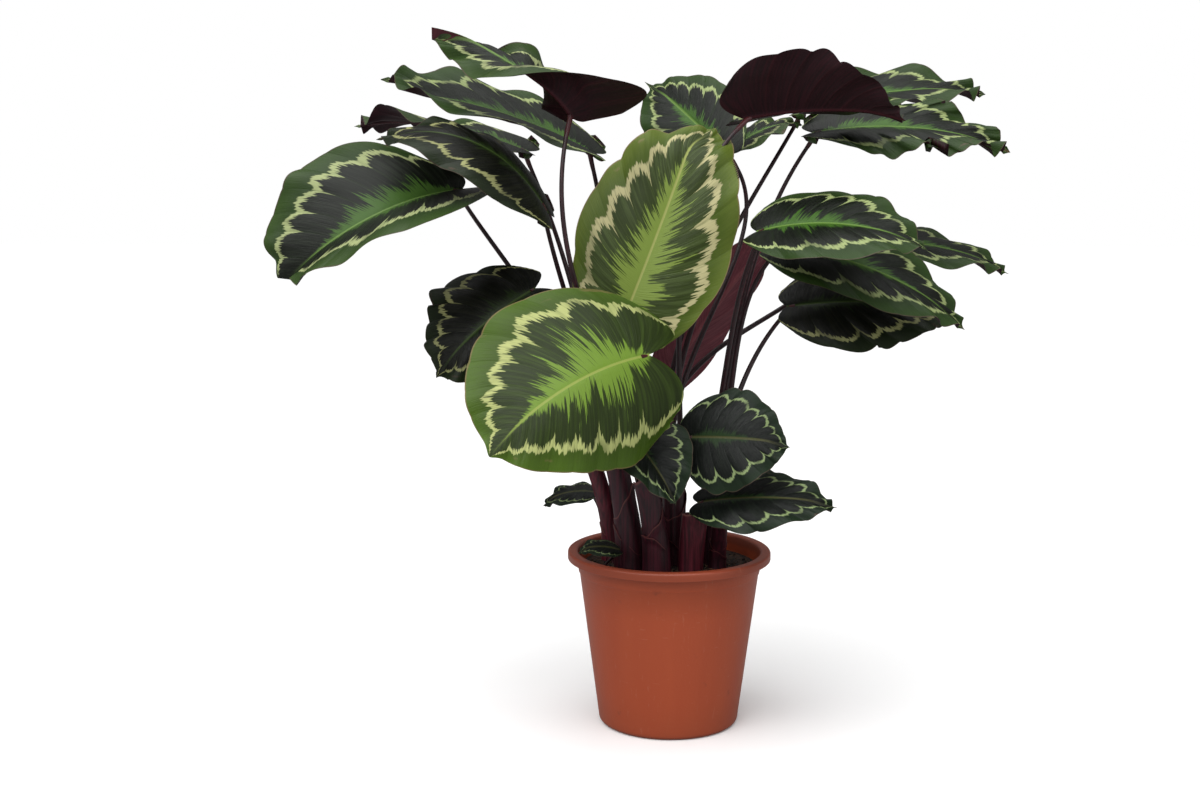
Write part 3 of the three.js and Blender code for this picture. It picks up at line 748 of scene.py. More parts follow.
LEAVES = {  # millimetres; the ends of the midrib, which way the upper side looks, and the blade's folds
    "far_left": dict(
        shoot="broad", base=(-210, -10, 552), tip=(-368, -70, 470),
        faces=((0, -0.85, 0.5), (-0.3, -0.9, 0.3)), arch=66, width=182, left=(55, 35), right=(5, -5),
        fullness=(0.8, 1.5), roundness=0.4, bow=(0, 28, -6), finish="painted_sheen", wave=4, pleat=1.1,
        droop=(0, 0, 0), tugs=((0.85, 0.8, 0.3, (-16, 0, 0)),)),
    "left_arched": dict(
        shoot="broad", base=(-120, -60, 531), tip=(-278, -80, 606),
        faces=((0.3, -0.42, 0.85), (-0.3, -0.4, 0.85)), arch=70, width=112, left=(8, -35), right=(5, -40),
        bow=(40, 30, 0), finish="old", wave=4, pleat=1.1),
    "left_back": dict(
        shoot="broad", base=(-150, 70, 590), tip=(-325, 60, 620), faces=((0, -0.2, 1), (0, 0.4, 0.9)),
        arch=20, width=120, left=(10, -20), right=(18, 0), finish="painted_sheen", wave=7),
    "left_upper": dict(
        shoot="broad", base=(-78, 0, 588), tip=(-281, -20, 648), faces=((0, -0.05, 1), (0, -0.1, 1)),
        arch=24, width=118, left=(8, 4), right=(32, 8), slot_bearing=0, finish="grown", wave=5,
        droop=(0, 0, 12), tugs=((0.25, -1, 0.25, (0, 0, -14)), (0.5, 1, 0.3, (0, 0, 8)))),
    "top_left_twisted": dict(
        shoot="front", base=(-96, -60, 621), tip=(-233, -20, 701),
        faces=((0.3, 0.65, 0.7), (-0.3, -0.8, 0.55)), arch=0, bulge=(43, -62, 8), width=108, left=(25, 10),
        right=(20, 0), bow=(-34, -62, 0), finish="painted_sheen", wave=5, pleat=1.4, roundness=0.85,
        tugs=((0.05, -1, 0.07, (18, 0, 2)), (0.05, -1, 0.11, (30, 12, 4)), (0.22, -1, 0.14, (0, 0, -18)),
              (0.5, 1, 0.16, (0, 0, -24)), (0.45, -1, 0.16, (6, 0, -8)), (1.0, 0, 0.3, (0, 0, 13)))),
    "centre_tall": dict(
        shoot="front", base=(-52, -54, 412), tip=(31, -6, 636), faces=((-0.05, -0.95, 0.3), (0, -0.9, 0.4)),
        arch=20, bulge=(8, 0, 0), width=156, left=(10, -15), right=(12, -25), lobe=0.1, slot_bearing=90,
        finish="spring_pale", wave=4, pleat=1.6, droop=(10, 26, -24), scallop=0.03, point=0.0),
    "front_round": dict(
        shoot="front", base=(-20, -120, 399), tip=(-160, -200, 323),
        faces=((0, -0.88, 0.45), (-0.3, -0.88, 0.35)), arch=22, bulge=(-6, 0, 18), width=200, left=(-8, -62),
        right=(5, 0), lobe=0.2, fullness=(0.75, 1.3), roundness=0.45, finish="spring", wave=3, pleat=1.2,
        scallop=0.012),
    "left_dark": dict(
        shoot="left", base=(-136, -20, 454), tip=(-229, -60, 375),
        faces=((-0.2, -0.85, 0.45), (-0.4, -0.85, 0.2)), arch=25, width=156, left=(5, -40), right=(5, -30),
        lobe=0.14, fullness=(0.87, 1.1), finish="old", wave=4, pleat=1.8, scallop=0.09),
    "centre_back": dict(
        shoot="middle", base=(59, 75, 587), tip=(-22, 165, 663),
        faces=((-0.4, -0.75, 0.5), (-0.4, -0.65, 0.65)), arch=15, width=108, left=(10, -20), right=(10, -20),
        finish="grown", point=0.12, wave=2, pleat=0.8),
    "top_right": dict(
        shoot="middle", base=(72, 5, 622), tip=(221, -45, 624), faces=((-0.1, 0.8, 0.6), (-0.1, 0.8, 0.6)),
        arch=22, width=142, left=(50, 50), right=(0, 10), lobe=0.13, fullness=(0.8, 0.8), roundness=0.5,
        finish="old", wave=4, pleat=1.5, scallop=0.05),
    "top_right_back": dict(
        shoot="back", base=(137, 150, 633), tip=(330, 145, 655), faces=((0, -0.42, 0.9), (0, -0.42, 0.9)),
        arch=20, width=118, left=(10, 0), right=(20, -10), bow=(0, -60, 0), finish="grown", wave=8),
    "right_ragged": dict(
        shoot="right", base=(145, 62, 609), tip=(339, 45, 595), faces=((0, -0.35, 0.95), (0, -0.35, 0.95)),
        arch=26, width=114, left=(22, 8), right=(15, -30), finish="grown", wave=8, pleat=1.5, ragged=0.10,
        dry=0.6),
    "behind_top_right": dict(
        shoot="back", base=(56, 122, 586), tip=(138, 140, 622), faces=((0, -0.2, 1), (0, -0.2, 1)),
        arch=16, width=70, left=(10, 0), right=(10, -10), bow=(0, -60, 0), finish="painted_sheen"),
    "right_front": dict(
        shoot="right", base=(83, -60, 513), tip=(237, -100, 504), faces=((0.1, -0.6, 0.8), (0.2, -0.6, 0.8)),
        arch=32, width=124, left=(10, -15), right=(18, -12), finish="grown", wave=3.5, scallop=0.02),
    "right_wavy": dict(
        shoot="right", base=(104, -10, 494), tip=(285, -40, 424), faces=((0.1, -0.55, 0.8), (0.3, -0.5, 0.7)),
        arch=40, width=118, left=(10, -15), right=(14, -14), finish="grown", wave=5, pleat=1.3, scallop=0.035,
        dry=0.3),
    "right_lower": dict(
        shoot="right", base=(120, 30, 432), tip=(288, 20, 430), faces=((0, -0.7, 0.7), (0.1, -0.7, 0.7)),
        arch=20, width=112, left=(10, -20), right=(5, -35), finish="old", wave=3, pleat=1.5, scallop=0.06),
    "far_right": dict(
        shoot="back", base=(189, 90, 494), tip=(352, 90, 468), faces=((0.1, -0.35, 0.95), (0.3, -0.35, 0.9)),
        arch=24, width=86, left=(10, -15), right=(10, -20), bow=(0, -70, -10), finish="grown", wave=5),
    "upright_back": dict(
        shoot="back", base=(-15, 85, 330), tip=(121, 145, 514), faces=((-0.3, 0.9, 0.2), (-0.4, 0.85, 0.3)),
        arch=15, width=74, left=(15, 0), right=(15, 0), finish="old", under="painted_lit"),
    "low_round": dict(
        shoot="middle", base=(18, -60, 310), tip=(113, -95, 311), faces=((0, -0.9, 0.4), (0.2, -0.9, 0.4)),
        arch=14, width=112, left=(5, -30), right=(5, -30), lobe=0.12, finish="low", wave=2.5, pleat=1.2,
        scallop=0.03),
    "low_folded": dict(
        shoot="front", base=(-48, -70, 327), tip=(5, -114, 259),
        faces=((0.35, -0.85, 0.35), (0.35, -0.9, 0.1)), arch=12, width=100, left=(15, -20), right=(45, 25),
        bow=(15, 0, 0), finish="low", wave=2, pleat=1.0),
    "low_right": dict(
        shoot="low_right", base=(28, -60, 244), tip=(158, -105, 254),
        faces=((0, -0.6, 0.8), (0.1, -0.6, 0.8)), arch=15, width=80, left=(5, -15), right=(5, -30),
        finish="low", wave=4, scallop=0.04, dry=0.9),
    "low_left": dict(
        soil_at=(-70, 40), base=(-79, 36, 234), tip=(-132, 36, 223),
        faces=((0, -0.4, 0.9), (-0.2, -0.4, 0.9)), arch=12, width=40, left=(5, -20), right=(5, -20),
        finish="low", wave=2, pleat=0.6, dry=1.0),
    "newest_small": dict(
        soil_at=(-68, -34), base=(-50, -40, 190), tip=(-90, -60, 195),
        faces=((0, -0.5, 0.85), (0, -0.5, 0.85)), arch=8, width=28, left=(5, -20), right=(5, -20),
        finish="low", wave=1, pleat=0.4),
}
STALK = {"root": 3.3, "end": 2.0, "joint": 0.7, "joint_length": 0.07, "sides": 14, "steps": 60,
         "arrival": 45, "leaving": 0.4, "meeting": 0.35, "ring": 7.2, "gap": 0.3, "clear": 3.2,
         "small": 0.55}


def midrib(leaf, along):
    """The midrib's place, its heading, and which way the upper side and the right half lie there."""
    base, tip = (np.array(leaf[end], float) for end in ("base", "tip"))
    facing = [unit(np.array(face, float)) for face in leaf["faces"]]
    chord = tip - base
    lift = facing[0] + facing[1]
    lift = unit(lift - chord * (lift @ chord) / (chord @ chord))
    knee = base + 0.5 * chord + lift * leaf["arch"] + np.array(leaf.get("bulge", (0, 0, 0)))
    along = np.asarray(along, float)
    centre = bezier((base, knee, tip), along)
    forward = unit(bezier((knee - base, tip - knee), along))
    share = np.clip(along, 0, 1)[..., None]
    up = facing[0] * (1 - share) + facing[1] * share
    up = unit(up - forward * (up * forward).sum(-1, keepdims=True))
    return centre, forward, up, np.cross(forward, up)


for name, leaf in LEAVES.items():
    leaf["name"] = name


def slots_on(shoot):
    """Where the stalks stand on a sheath's end, in the order in which their leaves lie round it."""
    top = np.array(SHOOTS[shoot][1], float)

    def bearing(name):
        leaf = LEAVES[name]
        if "slot_bearing" in leaf:
            return math.radians(leaf["slot_bearing"])
        return math.atan2(leaf["base"][1] - top[1], leaf["base"][0] - top[0])

    own = sorted((name for name in LEAVES if LEAVES[name].get("shoot") == shoot), key=bearing)
    if len(own) == 1:
        return {own[0]: top}
    step = 2 * math.pi / len(own)
    turn = sum(bearing(name) - place * step for place, name in enumerate(own)) / len(own)
    angles = {name: turn + place * step for place, name in enumerate(own)}
    return {name: top + STALK["ring"] * np.array([math.cos(angle), math.sin(angle), 0])
            for name, angle in angles.items()}


def stalk_path(name):
    """The stalk's curve: up from its sheath or the soil, then round to meet the midrib from beneath."""
    leaf = LEAVES[name]
    centre, forward, up, _ = midrib(leaf, 0.0)
    if "shoot" in leaf:
        start, axis = slots_on(leaf["shoot"])[name], np.array(shoot_axis(leaf["shoot"]))
        away = unit(axis[2] - axis[1])
    else:
        start, away = np.array([*leaf["soil_at"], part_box("soil")[1].z / MM]), np.array([0.0, 0.0, 1.0])
    start = start + (0, 0, STALK["gap"])
    end = centre + (forward - up) * STALK["clear"]
    arrival = math.radians(STALK["arrival"])
    heading = forward * math.cos(arrival) + up * math.sin(arrival)
    span = np.linalg.norm(end - start)
    leave = start + away * STALK["leaving"] * span
    meet = end - heading * STALK["meeting"] * span + np.array(leaf.get("bow", (0, 0, 0)))
    path = bezier((start, leave, meet, end), np.linspace(0, 1, STALK["steps"]))
    foot = [start - away * 30, start - away * 15] if "shoot" in leaf else [start - away * 8]
    along_rib = midrib(leaf, 0.05)
    return np.concatenate([foot, path[:-2], [end + up * 1.0, along_rib[0] - along_rib[2] * 0.9]])


def stalk_tree():
    """A round stalk along a path, tapered and with a swollen joint before its end."""
    tree, given, end = new_tree(
        "stalk_tube", "GeometryNodeTree",
        {"Path": "geometry", "Root Radius": "number", "End Radius": "number", "Joint Swelling": "number",
         "Joint Length": "number", "Sides": "count", "Skin": "material"}, {"Stalk": "geometry"})
    line = put(tree, "GeometryNodeMeshToCurve", {"Mesh": given["Path"]})
    share = put(tree, "GeometryNodeSplineParameter")
    before = share * -1.0 + 1.0
    within = before / given["Joint Length"]
    joint = within.rise(1.0, 0.5) * within.rise(-0.1, 0.15)
    radius = given["Root Radius"] + (given["End Radius"] - given["Root Radius"]) * share
    radius = radius + joint * given["Joint Swelling"]
    line = put(tree, "GeometryNodeStoreNamedAttribute",
               {"Geometry": line, "Name": "joint", "Value": joint}, {"data_type": "FLOAT", "domain": "POINT"})
    ring = put(tree, "GeometryNodeCurvePrimitiveCircle", {"Resolution": given["Sides"], "Radius": 1.0})
    tube = put(tree, "GeometryNodeCurveToMesh",
               {"Curve": line, "Profile Curve": ring, "Scale": radius, "Fill Caps": True})
    tube = put(tree, "GeometryNodeSetShadeSmooth", {0: tube})
    tube = put(tree, "GeometryNodeRealizeInstances", {0: tube})
    tube = put(tree, "GeometryNodeSetMaterial", {"Geometry": tube, "Material": given["Skin"]})
    plug(end.inputs["Stalk"], tube)
    return tree


def stalk_finish(name, dark, light, joint):
    """Dark maroon skin with fine streaks and a redder joint."""
    material, tree, shader = finish_of(name)
    x, y, z = around(tree)
    streak = noise(tree, x * 700, y * 700, z * 40, 3)
    skin = blend(tree, streak.rise(0.35, 0.75), paint(dark), paint(light))
    plug(shader.inputs["Base Color"], blend(tree, told(tree, "joint") * 0.7, skin, paint(joint)))
    plug(shader.inputs["Roughness"], streak * 0.15 + 0.33)
    bumped(tree, shader, streak, 0.0003, 0.6)
    return material


maroon_stalk = stalk_finish("maroon_stalk", "1c080d", "3a131b", "5c2026")
stalk_nodes = stalk_tree()
for name in LEAVES:
    path = stalk_path(name) * MM
    line = bpy.data.meshes.new("arched_stalk_" + name)
    line.from_pydata([tuple(point) for point in path], [(at, at + 1) for at in range(len(path) - 1)], [])
    stalk = shown("arched_stalk_" + name, line)
    small = STALK["small"] if "soil_at" in LEAVES[name] else 1.0
    grown(stalk, stalk_nodes, {
        "Root Radius": STALK["root"] * MM * small, "End Radius": STALK["end"] * MM * small,
        "Joint Swelling": STALK["joint"] * MM * small, "Joint Length": STALK["joint_length"],
        "Sides": STALK["sides"], "Skin": maroon_stalk})
    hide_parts("stalk_" + name)
    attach(stalk, "root")

# ---- Leaf blades ----
# A thin firm blade with a raised midrib beneath, pleated between its sweeping veins and waved at the
# margin. Above it is painted by nature: a jagged feather on the midrib, a dark zone, a pale ragged ring
# and a greener margin, with painted sheen on some leaves and painted shade on the lowest. Beneath it is
# maroon, painted lighter on one leaf where light falls on it.

LEAF_ORDER = {name: order / len(LEAVES) for order, name in enumerate(LEAVES)}
BLADE = {
    "rows": 120, "half_columns": 26, "spread": 1.3, "veins": 8, "thickness": 0.8, "rib": 1.5, "waves": 3.5,
    "lobe": 0.07, "first_vein": 0.05, "heel": 1.3, "crowding": 2.5, "roundness": 0.62, "point": 0.035,
    "fullness": (0.87, 0.87), "scallop": 0.012, "droop": (0, 0, -4), "wave": 4, "pleat": 1.0, "small": 60,
}


def vein_phase(leaf, vein, reach):
    """How many veins lie between a point and the stalk: they are never quite evenly spaced."""
    start = 20 * LEAF_ORDER[leaf["name"]] + 2 * np.sign(reach)
    drift = 0.016 * np.sin(9 * vein + start) + 0.009 * np.sin(23 * vein + 2 * start)
    return BLADE["veins"] * (vein + drift * ease(vein, 0.0, 0.1))


def scallops(leaf, vein, reach):
    """Arcs that meet in notches at the veins, about zero on average and fading at both ends."""
    phase = vein_phase(leaf, vein, reach)
    deep = 0.7 + 0.5 * np.sin(2.1 * phase + 5 * LEAF_ORDER[leaf["name"]])
    arcs = (np.abs(np.sin(math.pi * phase)) ** 0.8 - 0.66) * deep
    return arcs * ease(vein, 0.02, 0.12) * ease(vein, 1.0, 0.9)


def blade_place(leaf, vein, reach):
    """Where a point lies on the flat leaf: along the midrib, and out from it in millimetres."""
    lobe, roundness = leaf.get("lobe", BLADE["lobe"]), leaf.get("roundness", BLADE["roundness"])
    fullness = np.where(reach < 0, *leaf.get("fullness", BLADE["fullness"]))
    run = BLADE["first_vein"] + (1 - BLADE["first_vein"]) * (1 - (1 - vein) ** BLADE["crowding"])
    swell = np.sin(math.pi * np.clip(run, 0, 1) ** fullness).clip(0) ** roundness
    torn = (np.sin(61 * vein + 2) * np.sin(37 * vein) - 0.3) * ease(vein, 0.05, 0.2)
    ragged = leaf.get("ragged", 0.0) * torn
    scallop = leaf.get("scallop", BLADE["scallop"]) * 2 * scallops(leaf, vein, reach)
    swell = swell * (1 + scallop + ragged)
    margin_along = run * (1 + lobe) - lobe
    margin_half = leaf["width"] / 2 * np.where(vein < 1, swell, 0)
    heel = BLADE["heel"] * lobe * (1 - vein) ** 8
    bend_along = vein + (margin_along - vein) * 0.35 - heel
    out, rest = np.abs(reach), 1 - np.abs(reach)
    along = rest * rest * vein + 2 * rest * out * bend_along + out * out * margin_along
    across = 2 * rest * out * 0.6 * margin_half + out * out * margin_half
    drawn = leaf.get("point", BLADE["point"]) * ease(vein, 0.86, 1.0) ** 2
    return along, across, drawn


def blade_surface(leaf, vein, reach):
    """The blade's middle surface in millimetres, bent along its midrib and folded about it."""
    along, across, drawn = blade_place(leaf, vein, reach)
    centre, forward, up, side = midrib(leaf, along)
    length = np.linalg.norm(np.array(leaf["tip"], float) - leaf["base"])
    left, right = np.radians(leaf["left"]), np.radians(leaf["right"])
    at_rib = np.where(reach < 0, left[0], right[0])
    turn = (np.where(reach < 0, left[1], right[1]) - at_rib) / (leaf["width"] / 2)
    turn = np.where(np.abs(turn) < 1e-9, 1e-9, turn)
    angle = at_rib + turn * across
    out = (np.sin(angle) - np.sin(at_rib)) / turn
    rise = (np.cos(at_rib) - np.cos(angle)) / turn
    point = centre + side * (np.sign(reach) * out)[..., None] + up * rise[..., None]
    droop = np.array(leaf.get("droop", BLADE["droop"]), float)
    end = ease(along, 0.72, 1.02)[..., None] ** 1.6
    point = point + forward * (drawn * length)[..., None] + droop * end
    for at_vein, at_reach, spread, pull in leaf.get("tugs", ()):
        far = ((vein - at_vein) ** 2 + ((reach - at_reach) * 0.5) ** 2) / spread ** 2
        point = point + np.exp(-far)[..., None] * np.array(pull, float)
    return point, across


def blade_grid(name, leaf, seed):
    """The blade as a closed mesh with no thickness yet, and what each point needs to be shaped."""
    coarser = 2 if leaf["width"] < BLADE["small"] else 1
    rows = BLADE["rows"] // coarser
    half = BLADE["half_columns"] // coarser
    spots = np.linspace(-1, 1, 2 * half + 1)
    reach_line = np.sign(spots) * np.abs(spots) ** BLADE["spread"]
    vein, reach = np.meshgrid(np.linspace(0, 1, rows + 1), reach_line, indexing="ij")
    surface, across = blade_surface(leaf, vein, reach)
    normal = unit(np.cross(np.gradient(surface, axis=1), np.gradient(surface, axis=0)))
    normal[-1] = normal[-2]
    columns = len(reach_line)
    upper = np.arange(rows * columns).reshape(rows, columns)
    tip = rows * columns
    lower = upper.copy()
    lower[1:, 1:-1] = tip + 1 + np.arange((rows - 1) * (columns - 2)).reshape(rows - 1, columns - 2)
    faces = []
    for sheet, flip in ((upper, False), (lower, True)):
        quads = np.stack([sheet[:-1, :-1], sheet[:-1, 1:], sheet[1:, 1:], sheet[1:, :-1]], axis=-1)
        ends = np.stack([sheet[-1, :-1], sheet[-1, 1:], np.full(columns - 1, tip)], axis=-1)
        for group in (quads.reshape(-1, 4), ends):
            faces.extend((group[:, ::-1] if flip else group).tolist())

    def gathered(values):
        whole = np.asarray(values)
        flat = whole[:-1].reshape(rows * columns, *whole.shape[2:])
        return np.concatenate([flat, whole[-1:, half], whole[1:-1, 1:-1].reshape(-1, *whole.shape[2:])])

    mesh = bpy.data.meshes.new(name)
    mesh.from_pydata((gathered(surface) * MM).tolist(), [], faces)
    face = np.zeros(len(mesh.vertices))
    face[upper[1:, 1:-1]] = 1
    face[lower[1:, 1:-1]] = -1
    numbers = {
        "vein": gathered(vein), "reach": gathered(reach), "face": face, "across": gathered(across) * MM,
        "phase": gathered(vein_phase(leaf, vein, reach)), "seed": np.full(len(face), seed),
        "dry": np.full(len(face), leaf.get("dry", 0.0)),
    }
    for label, values in numbers.items():
        mesh.attributes.new(label, "FLOAT", "POINT").data.foreach_set("value", values.astype(np.float32))
    way = mesh.attributes.new("way", "FLOAT_VECTOR", "POINT")
    way.data.foreach_set("vector", gathered(normal).astype(np.float32).ravel())
    edges = np.empty(2 * len(mesh.edges), int)
    mesh.edges.foreach_get("vertices", edges)
    margin = np.abs(face[edges.reshape(-1, 2)]).max(axis=1) == 0
    mesh.attributes.new("sharp_edge", "BOOLEAN", "EDGE").data.foreach_set("value", margin)
    mesh.shade_smooth()
    return mesh


def field(tree, name, sort="FLOAT"):
    """A stored attribute in a Geometry Nodes tree."""
    return put(tree, "GeometryNodeInputNamedAttribute", {"Name": name}, {"data_type": sort})


def relief_tree():
    """Gives a blade its pleats, waves, thickness and midrib, and its upper and under sides."""
    tree, given, end = new_tree(
        "blade_relief", "GeometryNodeTree",
        {"Blade": "geometry", "Pleat Depth": "number", "Wave Height": "number", "Waves": "number",
         "Thickness": "number", "Rib Radius": "number", "Seed": "number",
         "Upper Side": "material", "Under Side": "material"}, {"Blade": "geometry"})
    vein, reach, face, across = (field(tree, name) for name in ("vein", "reach", "face", "across"))
    out = abs(reach)
    ends = vein.rise(1.0, 0.84) * (vein.rise(-0.08, 0.12) * 0.7 + 0.3)
    furrow = abs((field(tree, "phase") * math.pi).sine())
    pleat = (furrow ** 0.7 - 0.7) * out.rise(0.04, 0.75) * given["Pleat Depth"] * ends
    hand = reach.done("SIGN")
    uneven = noise(tree, vein * 4, hand * 3, given["Seed"] * 5, 1) * 1.4 + 0.3
    bend = noise(tree, vein * 3, hand * 5, given["Seed"] * 8 + 40, 0) * 5
    swing = (vein * given["Waves"] * 2 * math.pi + given["Seed"] * 9 + hand * 1.3 + bend).sine()
    wave = swing * uneven * out ** 2.6 * given["Wave Height"] * ends
    buckle = noise(tree, vein * 7, reach * 2.5, given["Seed"] * 3 + 20, 1) - 0.5
    buckle = buckle * out * given["Wave Height"] * 0.8
    channel = (across / 0.0022) ** 2
    dip = (channel * -1).done("EXPONENT")
    fade = vein * -0.85 + 1.0
    skin = (out ** 5 * -1 + 1) * given["Thickness"] * 0.5 * (vein.rise(1.0, 0.97)) * face
    rib = dip * fade * given["Rib Radius"] * (face.least(0.0) * 1.0 + face.most(0.0) * -0.35)
    lift = pleat + wave + buckle * ends + skin + rib
    push = scaled(tree, field(tree, "way", "FLOAT_VECTOR"), lift)
    shaped = put(tree, "GeometryNodeSetPosition", {"Geometry": given["Blade"], "Offset": push})
    shaped = put(tree, "GeometryNodeRealizeInstances", {0: shaped})
    shaped = put(tree, "GeometryNodeSetMaterial", {"Geometry": shaped, "Material": given["Upper Side"]})
    under = face.done("LESS_THAN", -0.01)
    shaped = put(tree, "GeometryNodeSetMaterial",
                 {"Geometry": shaped, "Selection": under, "Material": given["Under Side"]})
    plug(end.inputs["Blade"], shaped)
    return tree


def pattern_group():
    """The upper side's markings, as colours in and one colour, a roughness and a height out."""
    tree, given, end = new_tree(
        "calathea_markings", "ShaderNodeTree",
        {"Feather": "colour", "Zone": "colour", "Zone Streak": "colour", "Ring": "colour", "Margin": "colour",
         "Outer Margin": "colour", "Midrib": "colour", "Edge": "colour", "Feather Width": "number",
         "Feather Share": "number", "Ring Place": "number", "Ring Width": "number"},
        {"Color": "colour", "Roughness": "number", "Height": "number"})
    vein, reach, seed, across, dry, phase = (
        told(tree, name) for name in ("vein", "reach", "seed", "across", "dry", "phase"))
    out = abs(reach)
    side = reach.done("SIGN") * 13 + seed * 37
    furrow = abs((phase * math.pi).sine())

    # The feather spreads from the midrib in uneven lobes with teeth that follow the veins.
    coarse = noise(tree, vein * 62, out * 1.6, side, 1) - 0.5
    fine = noise(tree, vein * 210, out * 2.6, side + 5, 2) - 0.5
    jag = coarse * 1.1 + fine * 1.5
    other = (noise(tree, vein * 120, out * 2.2, side + 9, 2) - 0.5) * 2.0
    swell = vein.rise(-0.05, 0.26) * vein.rise(0.98, 0.40)
    lobes = noise(tree, phase * 2.3, side, 9.0, 1) * 1.5 + 0.25
    feather_edge = given["Feather Width"] * swell * lobes * (furrow * 0.45 + 0.7) * (jag * 2.3 + 1.0)
    feather = (out - feather_edge).rise(0.03, -0.02) * given["Feather Share"]

    # The pale ring bows outwards between the veins, is jagged on both sides and fades in patches.
    deep = noise(tree, phase * 1.1, side, 3.0, 0) * 0.26 - 0.03
    ring_middle = given["Ring Place"] + (furrow ** 0.8 - 0.62) * deep * vein.rise(0.02, 0.12)
    spike = (furrow * -1 + 1) ** 9 * 0.13
    inner = ring_middle - given["Ring Width"] * (jag * 1.6 + 0.5) - spike
    outer = ring_middle + given["Ring Width"] * (other * 0.75 + 0.35)
    past_inner = (out - inner).rise(-0.012, 0.012)
    past_outer = (out - outer).rise(-0.010, 0.014)
    patchy = noise(tree, vein * 9, out, side + 21, 1).rise(0.25, 0.45)
    faint = noise(tree, vein * 150, out * 3, side + 31, 2).rise(0.25, 0.5) * 0.45 + 0.55
    ring = past_inner * (past_outer * -1 + 1) * (patchy * 0.65 + 0.35) * faint * vein.rise(0.995, 0.95)

    # The dark zone lies inside the ring and the greener margin outside it.
    streak = noise(tree, vein * 95, out * 1.1, side + 2, 3)
    zone = blend(tree, streak.rise(0.42, 0.68), given["Zone"], given["Zone Streak"])
    body = blend(tree, feather, zone, given["Feather"])
    rim = blend(tree, (out + streak * 0.2 - 0.1).rise(0.72, 1.0), given["Margin"], given["Outer Margin"])
    body = blend(tree, past_outer, body, rim)
    body = blend(tree, ring, body, given["Ring"])

    # Fine veins, the midrib, a thin dry edge with a few spots, and a scorched tip.
    wire = (furrow * -1 + 1) ** 16 * 0.35 * out.rise(0.0, 0.3)
    body = blend(tree, wire, body, given["Margin"])
    midrib_line = abs(across).rise(0.0017, 0.0007) * vein.rise(1.0, 0.7)
    body = blend(tree, midrib_line * 0.85, body, given["Midrib"])
    body = blend(tree, out.rise(0.982, 0.994) * 0.8, body, given["Edge"])
    spot = noise(tree, vein * 9, out * 5, side + 50, 3).rise(0.66, 0.72) * out.rise(0.8, 0.95)
    body = blend(tree, spot * 0.7, body, given["Edge"])
    scorched = (vein + noise(tree, vein * 30, out * 9, side, 2) * 0.05).rise(0.975, 1.0) * out.rise(-0.2, 0.4)
    body = blend(tree, scorched * dry, body, (0.16, 0.09, 0.045, 1))
    plug(end.inputs["Color"], body)
    plug(end.inputs["Roughness"], streak * 0.14 + feather * -0.03 + 0.28)
    plug(end.inputs["Height"], fine * 0.6 + noise(tree, vein * 420, out * 5, side, 1) * 0.7 + wire * -1.2)
    return tree


MARKINGS = pattern_group()
PALETTES = {  # feather, zone, zone streak, ring, margin, outer margin, midrib, edge
    "spring": ("6d8b30", "25310f", "344417", "b3ba76", "3c5212", "48621a", "93a04e", "7b6944"),
    "spring_pale": ("7c9140", "2e3a14", "445228", "b9b384", "47591a", "5f6f2a", "a0a55e", "8d7859"),
    "grown": ("3f6420", "0b1008", "141c0f", "9ba970", "243714", "2d431a", "648439", "54463a"),
    # This palette is the grown one made lighter and greyer: painted sheen. These leaves' own gloss is the
    # same as on the others.
    "painted_sheen": ("4a6c2d", "10140d", "1f251b", "a0aa76", "283c17", "34491f", "6a8644", "54463a"),
    "old": ("2a3d18", "0b0d08", "17190f", "989a68", "141c0d", "1c2711", "3d4f25", "44352b"),
    # This palette is the grown one made darker: painted shade on the lowest leaves beneath the others. Their
    # thinner ring and feather, set in MEASURES, are their own.
    "low": ("2b4420", "080c09", "111810", "8b9d6a", "131f13", "1b2a19", "4b4a2a", "54463a"),
}
MEASURES = {  # feather width, feather share, ring place, ring width
    "spring": (0.21, 1.0, 0.70, 0.115), "spring_pale": (0.25, 0.95, 0.69, 0.12),
    "grown": (0.15, 0.9, 0.71, 0.09), "painted_sheen": (0.18, 0.85, 0.69, 0.10), "old": (0.11, 0.5, 0.71, 0.085),
    "low": (0.09, 0.6, 0.73, 0.062),
}


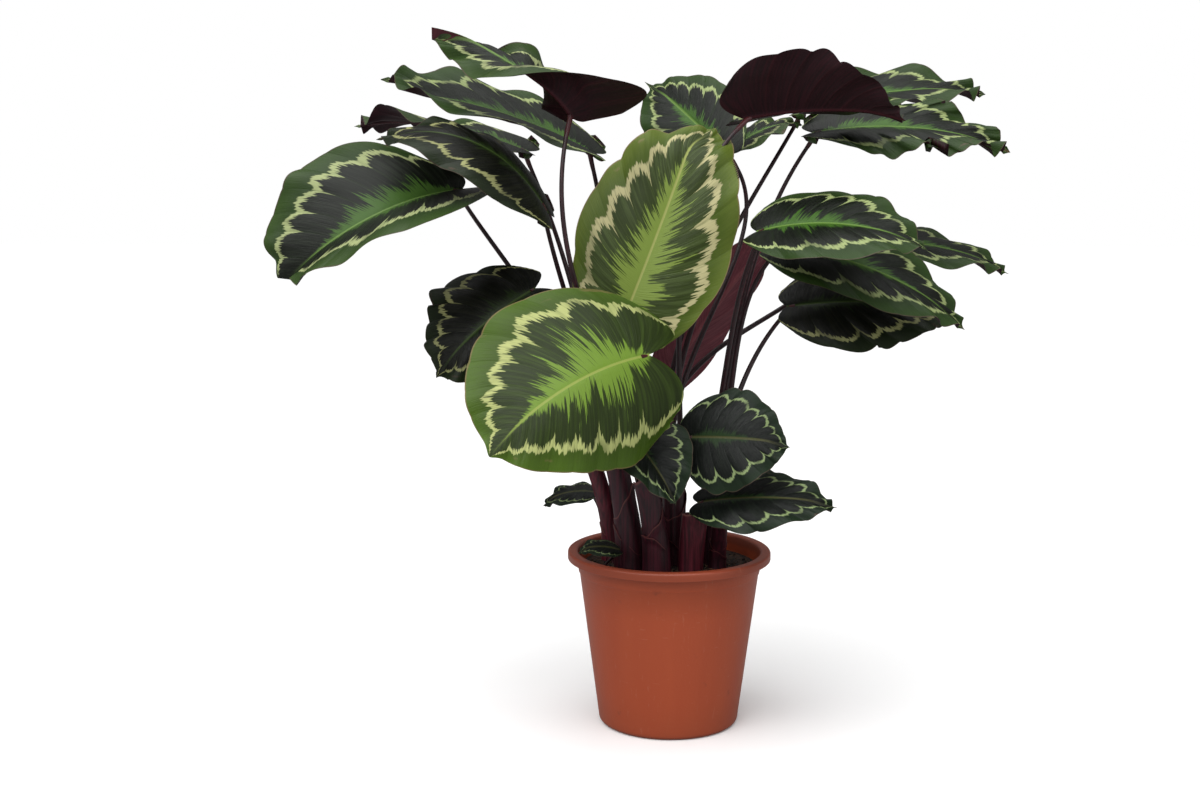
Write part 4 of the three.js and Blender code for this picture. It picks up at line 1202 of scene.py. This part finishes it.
def upper_side(kind):
    """A leaf's painted upper skin, satin from its fine ribbing."""
    material, tree, shader = finish_of("upper_side_" + kind)
    group = tree.nodes.new("ShaderNodeGroup")
    group.node_tree = MARKINGS
    for socket, value in zip(group.inputs, (*map(paint, PALETTES[kind]), *MEASURES[kind])):
        socket.default_value = value
    plug(shader.inputs["Base Color"], Term(group.outputs["Color"]))
    plug(shader.inputs["Roughness"], Term(group.outputs["Roughness"]))
    shader.inputs["Specular IOR Level"].default_value = 0.2
    bumped(tree, shader, Term(group.outputs["Height"]), 0.0005, 0.7)
    return material


def under_side(name, dark, light, vein_colour):
    """Maroon velvety underskin with raised, slightly lighter veins."""
    material, tree, shader = finish_of(name)
    vein, reach, across, phase = (told(tree, label) for label in ("vein", "reach", "across", "phase"))
    furrow = abs((phase * math.pi).sine())
    wire = (furrow * -1 + 1) ** 10
    streak = noise(tree, vein * 120, abs(reach) * 2, reach.done("SIGN") * 3, 3)
    rib = abs(across).rise(0.0035, 0.0012)
    skin = blend(tree, streak.rise(0.3, 0.75), paint(dark), paint(light))
    veined = (wire * 0.35 + rib * 0.6).least(1.0)
    plug(shader.inputs["Base Color"], blend(tree, veined, skin, paint(vein_colour)))
    plug(shader.inputs["Roughness"], streak * 0.15 + 0.5)
    shader.inputs["Specular IOR Level"].default_value = 0.25
    bumped(tree, shader, wire * 0.6 + streak * 0.5, 0.0006, 0.7)
    return material


under_skins = {
    "maroon": under_side("maroon_underside", "1d070d", "300c16", "45141d"),
    # This copy is the maroon underside painted lighter and pinker, as it looks where light falls on it:
    # painted light.
    "painted_lit": under_side("painted_lit_underside", "66303a", "80434b", "8f5154"),
}
upper_skins = {kind: upper_side(kind) for kind in PALETTES}
relief = relief_tree()
for order, (name, leaf) in enumerate(LEAVES.items()):
    label = "blade_" + name
    blade = shown(label, blade_grid(label, leaf, order / len(LEAVES)))
    grown(blade, relief, {
        "Pleat Depth": leaf.get("pleat", BLADE["pleat"]) * MM,
        "Wave Height": leaf.get("wave", BLADE["wave"]) * MM, "Waves": BLADE["waves"],
        "Thickness": BLADE["thickness"] * MM, "Seed": order / len(LEAVES),
        "Rib Radius": BLADE["rib"] * MM * min(1.0, leaf["width"] / 100),
        "Upper Side": upper_skins[leaf["finish"]], "Under Side": under_skins[leaf.get("under", "maroon")]})
    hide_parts("leaf_" + name)
    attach(blade, "root")
